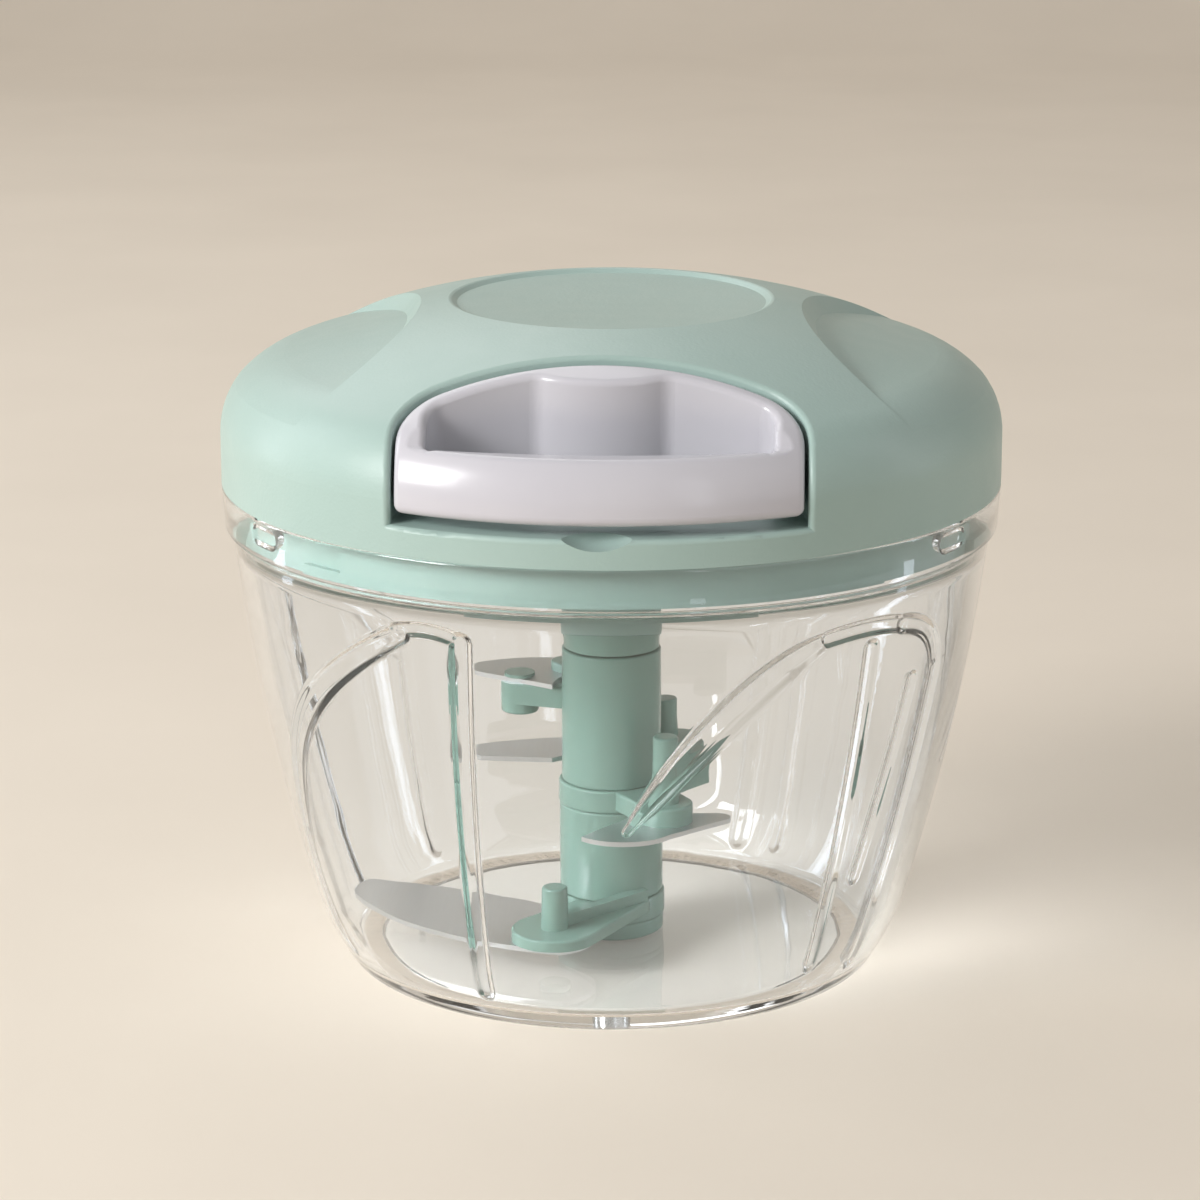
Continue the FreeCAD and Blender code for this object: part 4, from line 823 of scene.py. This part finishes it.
    def inner_skin(self) -> tuple[np.ndarray, list[list[int]]]:
        """Inner skin, its triangles laid along the ribs and lugs.

        Returns:
            Its points in millimetres, and its faces.
        """
        wall = Unrolled(self.inside(), self.seam)
        lines = [(bead, *bead.line(self.rib_spacing, wall)) for bead in self.ribs + self.lugs]
        spots, edges = [], []
        for bead, points, half in lines:
            for share in self.rib_levels:
                loop = bead.contour(share, points, half)
                first = sum(len(each) for each in spots)
                spots.append(loop)
                edges += [(first + i, first + (i + 1) % len(loop)) for i in range(len(loop))]
            spots.append(points)
        across = np.linspace(0.0, wall.width, self.columns + 1)
        grid = np.stack([each.ravel() for each in np.meshgrid(across, wall.down)], axis=1)
        free = np.ones(len(grid), bool)
        for bead, points, half in lines:
            free &= bead.reach(grid, points, half + self.rib_clear)[0] > 1.0
        spots = np.vstack(spots + [grid[free]])
        plan, _, faces, *_ = delaunay_2d_cdt([Vector(spot) for spot in spots], edges, [], 0, self.plan_weld)
        plan = np.array([tuple(spot) for spot in plan])
        swell = np.zeros(len(plan))
        for bead, points, half in lines:
            swell += bead.rise(*bead.reach(plan, points, half)) ** self.rib_merge
        return wall.solid(plan, swell ** (1 / self.rib_merge)), faces

    def turn(self, mesh: bmesh.types.BMesh, profile: Profile) -> None:
        """Turns a profile round the axis and closes its first ring.

        Args:
            mesh: the mesh that the faces are added to.
            profile: radii and heights.
        """
        turns = np.radians(self.seam + np.arange(self.columns) * 360 / self.columns)
        ways = np.stack([np.sin(turns), -np.cos(turns)], axis=1)
        rings = [[mesh.verts.new((x * r, y * r, z)) for x, y in ways] for r, z in profile]
        centre = mesh.verts.new((0.0, 0.0, profile[0][1]))
        for i in range(self.columns):
            j = (i + 1) % self.columns
            mesh.faces.new((centre, rings[0][i], rings[0][j]))
            for low, high in zip(rings, rings[1:]):
                mesh.faces.new((low[i], low[j], high[j], high[i]))

    def build(self, wardrobe: Wardrobe) -> None:
        """Makes the bowl in place of its CAD node.

        Args:
            wardrobe: the finishes.
        """
        mesh = bmesh.new()
        self.turn(mesh, self.outside())
        floor_r = self.inside()[-1][0]
        floor_rings = (*self.floor_rings, floor_r - self.floor_rim, floor_r)
        self.turn(mesh, [(r, self.floor_top) for r in floor_rings])
        points, faces = self.inner_skin()
        verts = [mesh.verts.new(point) for point in points]
        for face in faces:
            mesh.faces.new([verts[i] for i in face])
        bmesh.ops.remove_doubles(mesh, verts=mesh.verts, dist=self.weld)
        bmesh.ops.recalc_face_normals(mesh, faces=mesh.faces)
        piece = new_piece("bowl_moulding", mesh, wardrobe[Finish.BOWL])
        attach(piece, Body.BOWL.value)
        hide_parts("bowl")
        Finish.BOWL.slot
        log.info("bowl moulding has %d faces", len(piece.data.polygons))


class GeometryBench(Bench):
    """Lays out one geometry node tree and grows pieces with it."""

    family = "GeometryNode"

    def __init__(self, name: str, **sizes: float | int) -> None:
        """Starts a tree.

        Args:
            name: the tree's name.
            sizes: its named inputs and their values, with underscores for the names' spaces.
        """
        super().__init__(bpy.data.node_groups.new(name, "GeometryNodeTree"))
        sockets = self.tree.interface.new_socket
        sockets("Guide", in_out="INPUT", socket_type="NodeSocketGeometry")
        sockets("Piece", in_out="OUTPUT", socket_type="NodeSocketGeometry")
        self.values: dict[str, float | int] = {}
        for size, value in sizes.items():
            kind = "NodeSocketInt" if isinstance(value, int) else "NodeSocketFloat"
            socket = sockets(size.replace("_", " "), in_out="INPUT", socket_type=kind)
            self.values[socket.identifier] = value
        self.given = self.tree.nodes.new("NodeGroupInput").outputs

    def vector(self, operation: str, *values: object) -> bpy.types.NodeSocket:
        """Does one sum with a Vector Math node.

        Args:
            operation: the sum.
            values: its two vectors.

        Returns:
            The result.
        """
        node = self.shader("VectorMath", *values)
        node.operation = operation
        return node.outputs[0]

    def scaled(self, vector: object, size: object) -> bpy.types.NodeSocket:
        """Multiplies a vector by a number.

        Args:
            vector: the vector.
            size: the number.

        Returns:
            The result.
        """
        node = self.shader("VectorMath", vector)
        node.operation = "SCALE"
        self.feed(node, "Scale", size)
        return node.outputs[0]

    def circle(self, sides: int, radius: object) -> bpy.types.NodeSocket:
        """Round profile of a wire or strand."""
        return self.add("CurvePrimitiveCircle", Resolution=sides, Radius=radius).outputs["Curve"]

    def sweep(self, curve: bpy.types.NodeSocket, profile: bpy.types.NodeSocket) -> bpy.types.NodeSocket:
        """Mesh of a profile drawn along a curve, its ends closed."""
        return self.add("CurveToMesh", Curve=curve, Profile_Curve=profile, Fill_Caps=True).outputs["Mesh"]

    def close(self, parts: Sequence[bpy.types.NodeSocket], finish: bpy.types.Material) -> None:
        """Ends the tree: joins its parts, makes them real and gives them their material.

        Args:
            parts: the meshes.
            finish: their material.
        """
        joined = self.add("JoinGeometry")
        for part in parts:
            self.feed(joined, "Geometry", part)
        real = self.add("RealizeInstances", Geometry=joined.outputs["Geometry"])
        smooth = self.add("SetShadeSmooth", Geometry=real.outputs["Geometry"])
        painted = self.add("SetMaterial", Geometry=smooth.outputs["Geometry"], Material=finish)
        last = self.tree.nodes.new("NodeGroupOutput")
        self.feed(last, "Piece", painted.outputs["Geometry"])

    def grow(self, name: str, path: Sequence[Sequence[float]] = ()) -> bpy.types.Object:
        """Runs the tree and keeps its result as a plain mesh.

        Args:
            name: the piece's name.
            path: points in millimetres that the tree follows, close together, if it follows any.

        Returns:
            The piece, linked to the scene.
        """
        line = bpy.data.meshes.new(name + "_guide")
        steps = [(i, i + 1) for i in range(len(path) - 1)]
        line.from_pydata([Vector(spot) * MM for spot in path], steps, [])
        guide = placed(name + "_guide", line)
        modifier = guide.modifiers.new("grow", "NODES")
        modifier.node_group = self.tree
        for identifier, value in self.values.items():
            modifier[identifier] = value
        bpy.context.view_layer.update()
        graph = bpy.context.evaluated_depsgraph_get()
        data = bpy.data.meshes.new_from_object(guide.evaluated_get(graph), depsgraph=graph)
        data.name = name
        bpy.data.objects.remove(guide)
        bpy.data.meshes.remove(line)
        return placed(name, data)


@dataclass(frozen=True)
class Braid:
    """Flat strands laid both ways round a core, passing over and under each other.

    The two ways swing apart and together once for each strand of a way in every lay, so that
    each strand passes over one crossing strand and under the next.
    """

    strands_each_way: int = 4
    middle_r: float = 0.49
    swing: float = 0.09
    lay: float = 6.4
    strand_width: float = 0.52
    strand_thick: float = 0.3
    core_r: float = 0.42
    sides: int = 6

    def bench(self, finish: bpy.types.Material) -> GeometryBench:
        """Builds the tree that lays the braid along a path.

        Args:
            finish: the strands' material.

        Returns:
            The tree's bench.
        """
        bench = GeometryBench(
            "CordBraid",
            Strands_Each_Way=self.strands_each_way,
            Middle_Radius=self.middle_r * MM,
            Swing=self.swing * MM,
            Lay=self.lay * MM,
            Strand_Width=self.strand_width * MM,
            Strand_Thickness=self.strand_thick * MM,
            Core_Radius=self.core_r * MM,
        )
        given = bench.given
        path = bench.add("MeshToCurve", Mesh=given["Guide"]).outputs["Curve"]
        lays = bench.maths("DIVIDE", bench.add("SplineParameter").outputs["Length"], given["Lay"])
        phase = bench.maths("MULTIPLY", lays, math.tau)
        flat = bench.shader("CombineXYZ", given["Strand Thickness"], given["Strand Width"], 1.0).outputs[0]
        profile = bench.add("Transform", Geometry=bench.circle(self.sides, 0.5), Scale=flat)
        parts = []
        for way in (1.0, -1.0):
            parts.append(bench.sweep(self.strands(bench, path, phase, way), profile.outputs["Geometry"]))
        parts.append(bench.sweep(path, bench.circle(self.sides, given["Core Radius"])))
        bench.close(parts, finish)
        return bench

    def strands(
        self, bench: GeometryBench, path: bpy.types.NodeSocket, phase: bpy.types.NodeSocket, way: float
    ) -> bpy.types.NodeSocket:
        """Lays the middle lines of the strands that turn one way.

        Args:
            bench: the tree's bench.
            path: the cord's middle line.
            phase: turn of the lay along that line, in radians.
            way: 1 or -1, the way that the strands turn.

        Returns:
            The strands' curves, whose normals point away from the cord's middle line.
        """
        count = bench.given["Strands Each Way"]
        copies = bench.add("DuplicateElements", Geometry=path, Amount=count)
        copies.domain = "SPLINE"
        share = bench.maths("DIVIDE", copies.outputs["Duplicate Index"], count)
        start = bench.maths("MULTIPLY", share, math.tau)
        turn = bench.maths("ADD", bench.maths("MULTIPLY", phase, way), start)
        wave = bench.maths("COSINE", bench.maths("MULTIPLY", phase, count))
        swing = bench.maths("MULTIPLY", bench.maths("MULTIPLY", wave, bench.given["Swing"]), way)
        normal = bench.add("InputNormal").outputs["Normal"]
        side = bench.vector("CROSS_PRODUCT", bench.add("InputTangent").outputs["Tangent"], normal)
        ahead = bench.scaled(normal, bench.maths("COSINE", turn))
        aside = bench.scaled(side, bench.maths("SINE", turn))
        out = bench.vector("ADD", ahead, aside)
        kept = bench.add("StoreNamedAttribute", Geometry=copies.outputs["Geometry"], Name="out")
        kept.data_type = "FLOAT_VECTOR"
        bench.feed(kept, "Value", out)
        reach = bench.maths("ADD", bench.given["Middle Radius"], swing)
        offset = bench.scaled(out, reach)
        moved = bench.add("SetPosition", Geometry=kept.outputs["Geometry"], Offset=offset)
        held = bench.add("InputNamedAttribute", Name="out")
        held.data_type = "FLOAT_VECTOR"
        turned = bench.add("SetCurveNormal", Curve=moved.outputs["Geometry"])
        turned.mode = "FREE"
        bench.feed(turned, "Normal", held.outputs["Attribute"])
        return turned.outputs["Curve"]


@dataclass
class ClutchSpring:
    """Light coil spring that stands on the hub's flange under the clutch ring."""

    middle_r: float = 12.9
    wire: float = 1.0
    turns: float = 4.0
    travel: float = 2.2
    start: tuple[float, float, float] = (0.0, 0.0, -math.pi / 2)
    steps_in_turn: int = 48
    sides: int = 10

    def bench(self, low: float, high: float, finish: bpy.types.Material) -> GeometryBench:
        """Builds the tree that winds the wire.

        Args:
            low: height of the wire's middle at the lower end, in metres.
            high: height of the wire's middle at the upper end.
            finish: the wire's material.

        Returns:
            The tree's bench.
        """
        bench = GeometryBench(
            "ClutchSpring",
            Middle_Radius=self.middle_r * MM,
            Wire_Radius=self.wire / 2 * MM,
            Turns=self.turns,
            Low_End=low,
            High_End=high,
        )
        given = bench.given
        height = bench.maths("SUBTRACT", given["High End"], given["Low End"])
        radius = given["Middle Radius"]
        spiral = bench.add("CurveSpiral", Start_Radius=radius, End_Radius=radius, Height=height)
        bench.feed(spiral, "Rotations", given["Turns"])
        bench.feed(spiral, "Resolution", self.steps_in_turn)
        place = bench.shader("CombineXYZ", 0.0, 0.0, given["Low End"]).outputs[0]
        stood = bench.add("Transform", Geometry=spiral.outputs["Curve"], Rotation=self.start)
        bench.feed(stood, "Translation", place)
        ring = bench.circle(self.sides, given["Wire Radius"])
        bench.close([bench.sweep(stood.outputs["Geometry"], ring)], finish)
        return bench

    def build(self, wardrobe: Wardrobe) -> None:
        """Winds the spring where its CAD node stands; the piece keeps one length, though the real spring
        shortens as the clutch lets go.

        Args:
            wardrobe: the finishes.
        """
        low, high = (corner[2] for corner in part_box("clutch_spring"))
        inset = self.wire / 2 * MM
        piece = self.bench(low + inset, high - inset, wardrobe[Finish.SPRING]).grow("clutch_coil")
        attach(piece, Body.HUB.value)
        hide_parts("clutch_spring")
        Finish.SPRING.slot
        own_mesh(piece)
        log.info("clutch coil has %d faces", len(piece.data.polygons))


@dataclass
class PullCord:
    """Cord wound on the reel, led out through the eyelet and knotted inside the handle."""

    lay_r: float = 22.85
    leave: float = 46.33
    low_z: float = 92.6
    pitch: float = 2.1
    turns: int = 3
    corner_y: float = -34.0
    corner_r: float = 3.0
    eyelet_y: float = -36.4
    handle_y: float = -39.5
    knot_y: float = -41.4
    knot_r: float = 0.95
    knot_turns: float = 2.25
    knot_drop: float = 4.6
    knot_lead: tuple[float, ...] = (0.6, 0.3, 0.0, -0.3)
    tail_side: float = 0.3
    pull: float = 300.0
    overlap: float = 0.4
    step: float = 0.5
    lead_points: int = 40
    bend_points: int = 7
    exit_points: int = 6
    knot_points: int = 60
    tail_points: int = 8
    fold_points: int = 4001
    braid: Braid = Braid()

    @property
    def exit_z(self) -> float:
        """Height at which the cord leaves the lid."""
        return self.low_z + self.turns * self.pitch

    def wound(self) -> Path:
        """Path of the turns on the drum and of the straight lead to the eyelet.

        Returns:
            Its points.
        """
        length = math.tau * self.lay_r * self.turns
        spots = []
        for share in np.linspace(0.0, 1.0, int(length / self.step)):
            turn = math.radians(self.leave) - math.tau * self.turns * (share - 1.0)
            climb = self.low_z + self.turns * self.pitch * share
            spots.append((self.lay_r * math.sin(turn), -self.lay_r * math.cos(turn), climb))
        drum = Vector(spots[-1])
        corner = Vector((0.0, self.corner_y, self.exit_z))
        away = (drum - corner).normalized()
        sweep = math.acos(away.y)
        half = self.corner_r * math.tan(sweep / 2)
        bend = corner + away * half
        run = [drum.lerp(bend, share) for share in np.linspace(0.0, 1.0, self.lead_points)[1:]]
        inward = (away + Vector((0.0, -1.0, 0.0))).normalized()
        centre = corner + inward * math.hypot(self.corner_r, half)
        first = run[-1] - centre
        for share in np.linspace(0.0, 1.0, self.bend_points)[1:]:
            run.append(centre + Matrix.Rotation(sweep * share, 3, "Z") @ first)
        end = Vector((run[-1].x, self.eyelet_y, self.exit_z))
        run += [run[-1].lerp(end, share) for share in np.linspace(0.0, 1.0, self.exit_points)[1:]]
        return spots + [tuple(spot) for spot in run]

    def knotted(self) -> Path:
        """Path of the stopper knot: in from the bore, round itself, then down.

        Returns:
            Its points.
        """
        spots = [(0.0, self.handle_y + y, self.exit_z) for y in self.knot_lead]
        first, last = self.knot_y + self.knot_r, self.knot_y - self.knot_r
        for share in np.linspace(0.0, 1.0, self.knot_points):
            turn = math.tau * self.knot_turns * share
            y = first + (last - first) * share
            spots.append((self.knot_r * math.sin(turn), y, self.exit_z + self.knot_r * math.cos(turn)))
        under = self.exit_z - self.knot_r
        for share in np.linspace(0.0, 1.0, self.tail_points)[1:]:
            spots.append((self.tail_side * (1 - share), self.knot_y, under - self.knot_drop * share))
        return spots

    def stretch(self) -> Path:
        """Path of the free cord as it lies when the handle is pulled right out."""
        start, end = self.eyelet_y + self.overlap, self.handle_y - self.overlap - self.pull
        return [(0.0, y, self.exit_z) for y in np.linspace(start, end, int((start - end) / self.step))]

    def fold_in(self, data: bpy.types.Mesh) -> None:
        """Draws the pulled-out stretch back into the gap between lid and handle.

        Between the eyelet and the handle a point moves by the pull times the blend's own share,
        so each point goes where that share brings it back to where it is when pulled.

        Args:
            data: the stretch's mesh.
        """
        ahead = np.linspace(0.0, 1.0, self.fold_points)
        short = self.eyelet_y + (self.handle_y - self.eyelet_y) * ahead
        long = short - self.pull * ahead * ahead * (3 - 2 * ahead)
        spots = np.empty(len(data.vertices) * 3)
        data.vertices.foreach_get("co", spots)
        spots = spots.reshape(-1, 3)
        pulled = spots[:, 1] / MM
        inside = np.interp(-pulled, -long, short)
        inside = np.where(pulled > self.eyelet_y, pulled, inside)
        spots[:, 1] = np.where(pulled < long[-1], pulled + self.pull, inside) * MM
        data.vertices.foreach_set("co", spots.ravel())
        data.update()

    def build(self, wardrobe: Wardrobe) -> None:
        """Makes the three lengths of cord in place of their CAD nodes.

        Args:
            wardrobe: the finishes.
        """
        bench = self.braid.bench(wardrobe[Finish.CORD])
        wound = bench.grow("cord_on_reel", self.wound())
        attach(wound, Body.LID.value)
        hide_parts("cord_winding", "cord_lead")
        knot = bench.grow("cord_stopper", self.knotted())
        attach(knot, Body.HANDLE.value)
        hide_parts("cord_knot")
        free = bench.grow("cord_between", self.stretch())
        self.fold_in(free.data)
        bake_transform(free)
        for piece in (wound, knot, free):
            Finish.CORD.slot
            log.info("%s has %d faces", piece.name, len(piece.data.polygons))


TURNED_STEEL = ("pivot_pin", "base_screws", "reel_axle", "reel_washer", "reel_screw", "dog_screw")
BLADE_HOLDERS = ("lower_blade_holder", "lower_sleeve", "middle_blade_holder", "upper_sleeve")


@dataclass
class Dressing:
    """CAD nodes that keep their own shape, by finish."""

    nodes: dict[Finish, tuple[str, ...]] = field(
        default_factory=lambda: {
            Finish.LID: ("lid_cover",),
            # lid_base wears the lid's green darkened as painted shade.
            Finish.SHADED_SKIRT: ("lid_base",),
            Finish.GRIP: ("pull_handle",),
            Finish.TOWER: ("blade_core", *BLADE_HOLDERS, "blade_rivets", "drive_dog"),
            Finish.NATURAL: ("reel", "reel_cover", "drive_hub", "clutch_ring", "cord_eyelet"),
            Finish.TURNED: TURNED_STEEL,
            Finish.SPRING: ("return_spring",),
            Finish.BLADE: ("blade_long", "blade_front", "blade_rear", "blade_upper"),
            Finish.SEAL: ("seal_ring",),
        }
    )

    def build(self, frame: dict, wardrobe: Wardrobe) -> None:
        """Dresses every node.

        Args:
            frame: the loaded frame.
            wardrobe: the finishes.
        """
        for finish, names in self.nodes.items():
            for name in names:
                node = frame["nodes"][name]
                node.data.materials.clear()
                node.data.materials.append(wardrobe[finish])
                finish.slot
                log.info("dressed %s as %s", name, finish.name)


@dataclass(frozen=True)
class Lamp:
    """Soft lamp: where it hangs, its width and height, and its power."""

    name: str
    place: tuple[float, float, float]
    size: tuple[float, float]
    watts: float
    colour: tuple[float, float, float] = (1.0, 1.0, 1.0)

    def hang(self, aim: Vector) -> None:
        """Hangs the lamp.

        Args:
            aim: the point that it looks at.
        """
        data = bpy.data.lights.new(self.name, "AREA")
        data.shape = "RECTANGLE"
        data.size, data.size_y = self.size
        data.energy = self.watts
        data.color = self.colour
        hung = placed(self.name, data)
        hung.location = self.place
        hung.rotation_euler = (aim - Vector(self.place)).to_track_quat("-Z", "Y").to_euler()


@dataclass
class Studio:
    """Pale cove, soft lamps and the camera."""

    floor_colour: tuple[int, int, int] = (226, 215, 200)
    floor_change: int = 4
    floor_cloud: float = 0.09
    floor_roughness: float = 0.8
    floor_lift: float = 0.17
    cove_front: float = -2.0
    cove_back: float = 1.5
    cove_bend: float = 0.4
    cove_top: float = 0.95
    cove_half: float = 2.4
    cove_steps: int = 16
    world_colour: tuple[int, int, int] = (241, 237, 231)
    world_light: float = 0.3
    world_seen: float = 1.0
    lamps: tuple[Lamp, ...] = (
        Lamp("key_lamp", (-0.95, -0.62, 0.60), (0.45, 0.45), 13.5),
        Lamp("fill_lamp", (0.9, -0.6, 0.5), (0.8, 0.8), 0.7),
        Lamp("back_lamp", (-0.3, 0.75, 0.8), (0.6, 0.6), 1.5),
        Lamp("left_strip", (-0.85, 0.3, 0.3), (0.1, 0.9), 1.7, (0.86, 0.92, 1.0)),
        Lamp("right_strip", (0.85, 0.1, 0.3), (0.07, 0.9), 0.9, (0.86, 0.92, 1.0)),
        Lamp("front_strip", (0.45, -0.9, 0.35), (0.08, 0.7), 0.5, (0.92, 0.95, 1.0)),
    )
    aim: tuple[float, float, float] = (0.0, 0.0, 0.06)
    camera_distance: float = 0.700
    camera_height: float = 0.2466
    camera_pitch: float = 0.260
    camera_turn: float = math.radians(2.0)
    camera_range: tuple[float, float] = (0.05, 20.0)
    sensor_mm: float = 36.0
    lens_px: float = 4293.6
    frame_px: float = 1200.0
    axis_px: float = 11.4
    glass_bounces: int = 24

    def cove(self) -> None:
        """Floor that curves up into a low wall behind the object."""
        bend_y = self.cove_back - self.cove_bend
        profile = [(self.cove_front, 0.0), (bend_y, 0.0)]
        bend = Ring(bend_y, self.cove_bend, self.cove_bend)
        profile += bend.run(-math.pi / 2, 0.0, self.cove_steps + 1)[1:]
        profile.append((self.cove_back, self.cove_top))
        mesh = bmesh.new()
        rows = [[mesh.verts.new((x, y, z)) for x in (-self.cove_half, self.cove_half)] for y, z in profile]
        for low, high in zip(rows, rows[1:]):
            mesh.faces.new((low[0], low[1], high[1], high[0])).smooth = True
        data = bpy.data.meshes.new("studio_cove")
        mesh.to_mesh(data)
        mesh.free()
        data.materials.append(self.plaster())
        placed("studio_cove", data)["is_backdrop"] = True

    def plaster(self) -> bpy.types.Material:
        """Plain matt paint of the cove, lifted a little where it is seen.

        Returns:
            The new material.
        """
        bench = MaterialBench("StudioPaint")
        cloud = bench.spread(bench.noise(self.floor_cloud, detail=3.0), 0.0, 1.0)
        shade = (value - self.floor_change for value in self.floor_colour)
        colour = bench.blend(cloud, paint(*self.floor_colour), paint(*shade))
        matt = bench.add("BsdfPrincipled", Base_Color=colour, Roughness=self.floor_roughness)
        lift = bench.maths("MULTIPLY", bench.looked_at(), self.floor_lift)
        glow = bench.add("Emission", Color=colour, Strength=lift)
        both = bench.shader("AddShader", matt.outputs["BSDF"], glow.outputs["Emission"])
        return bench.finish(both.outputs["Shader"])

    def world(self) -> None:
        """Even pale surroundings, dimmer for the light that they give than where they are seen."""
        world = bpy.data.worlds.new("studio_world")
        world.use_nodes = True
        bench = Bench(world.node_tree)
        background = bench.tree.nodes["Background"]
        seen = bench.looked_at()
        strength = bench.add("MapRange", Value=seen, To_Min=self.world_light, To_Max=self.world_seen)
        bench.feed(background, "Color", paint(*self.world_colour))
        bench.feed(background, "Strength", strength.outputs["Result"])
        bpy.context.scene.world = world

    def camera(self) -> None:
        """Camera where the photograph was taken from."""
        data = bpy.data.cameras.new("studio_camera")
        data.sensor_width = self.sensor_mm
        data.lens = self.lens_px / self.frame_px * self.sensor_mm
        data.shift_x = -self.axis_px / self.frame_px
        data.clip_start, data.clip_end = self.camera_range
        camera = placed("studio_camera", data)
        side = math.sin(self.camera_turn) * self.camera_distance
        front = -math.cos(self.camera_turn) * self.camera_distance
        camera.location = (side, front, self.camera_height)
        camera.rotation_euler = (math.pi / 2 - self.camera_pitch, 0.0, self.camera_turn)
        bpy.context.scene.camera = camera

    def build(self) -> None:
        """Sets up the whole studio; light turns often enough inside the plastic to leave it."""
        scene = bpy.context.scene
        scene.view_settings.view_transform = "Standard"
        scene.cycles.max_bounces = self.glass_bounces
        scene.cycles.glossy_bounces = self.glass_bounces
        scene.cycles.transmission_bounces = self.glass_bounces
        self.cove()
        self.world()
        for lamp in self.lamps:
            lamp.hang(Vector(self.aim))
        self.camera()


def corners(box: tuple[Vector, Vector]) -> list[list[float]]:
    """A box as plain lists."""
    return [list(box[0]), list(box[1])]


def main() -> None:
    """Loads the frame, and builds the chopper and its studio."""
    logging.basicConfig(level=logging.INFO, format="%(name)s: %(message)s")
    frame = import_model()
    cad_box = corners(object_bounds())
    wardrobe = Wardrobe()
    Dressing().build(frame, wardrobe)
    ClearBowl().build(wardrobe)
    PullCord().build(wardrobe)
    ClutchSpring().build(wardrobe)
    Studio().build()
    {"cad": cad_box, "visual": corners(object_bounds())}


if __name__ == "__main__":
    main()
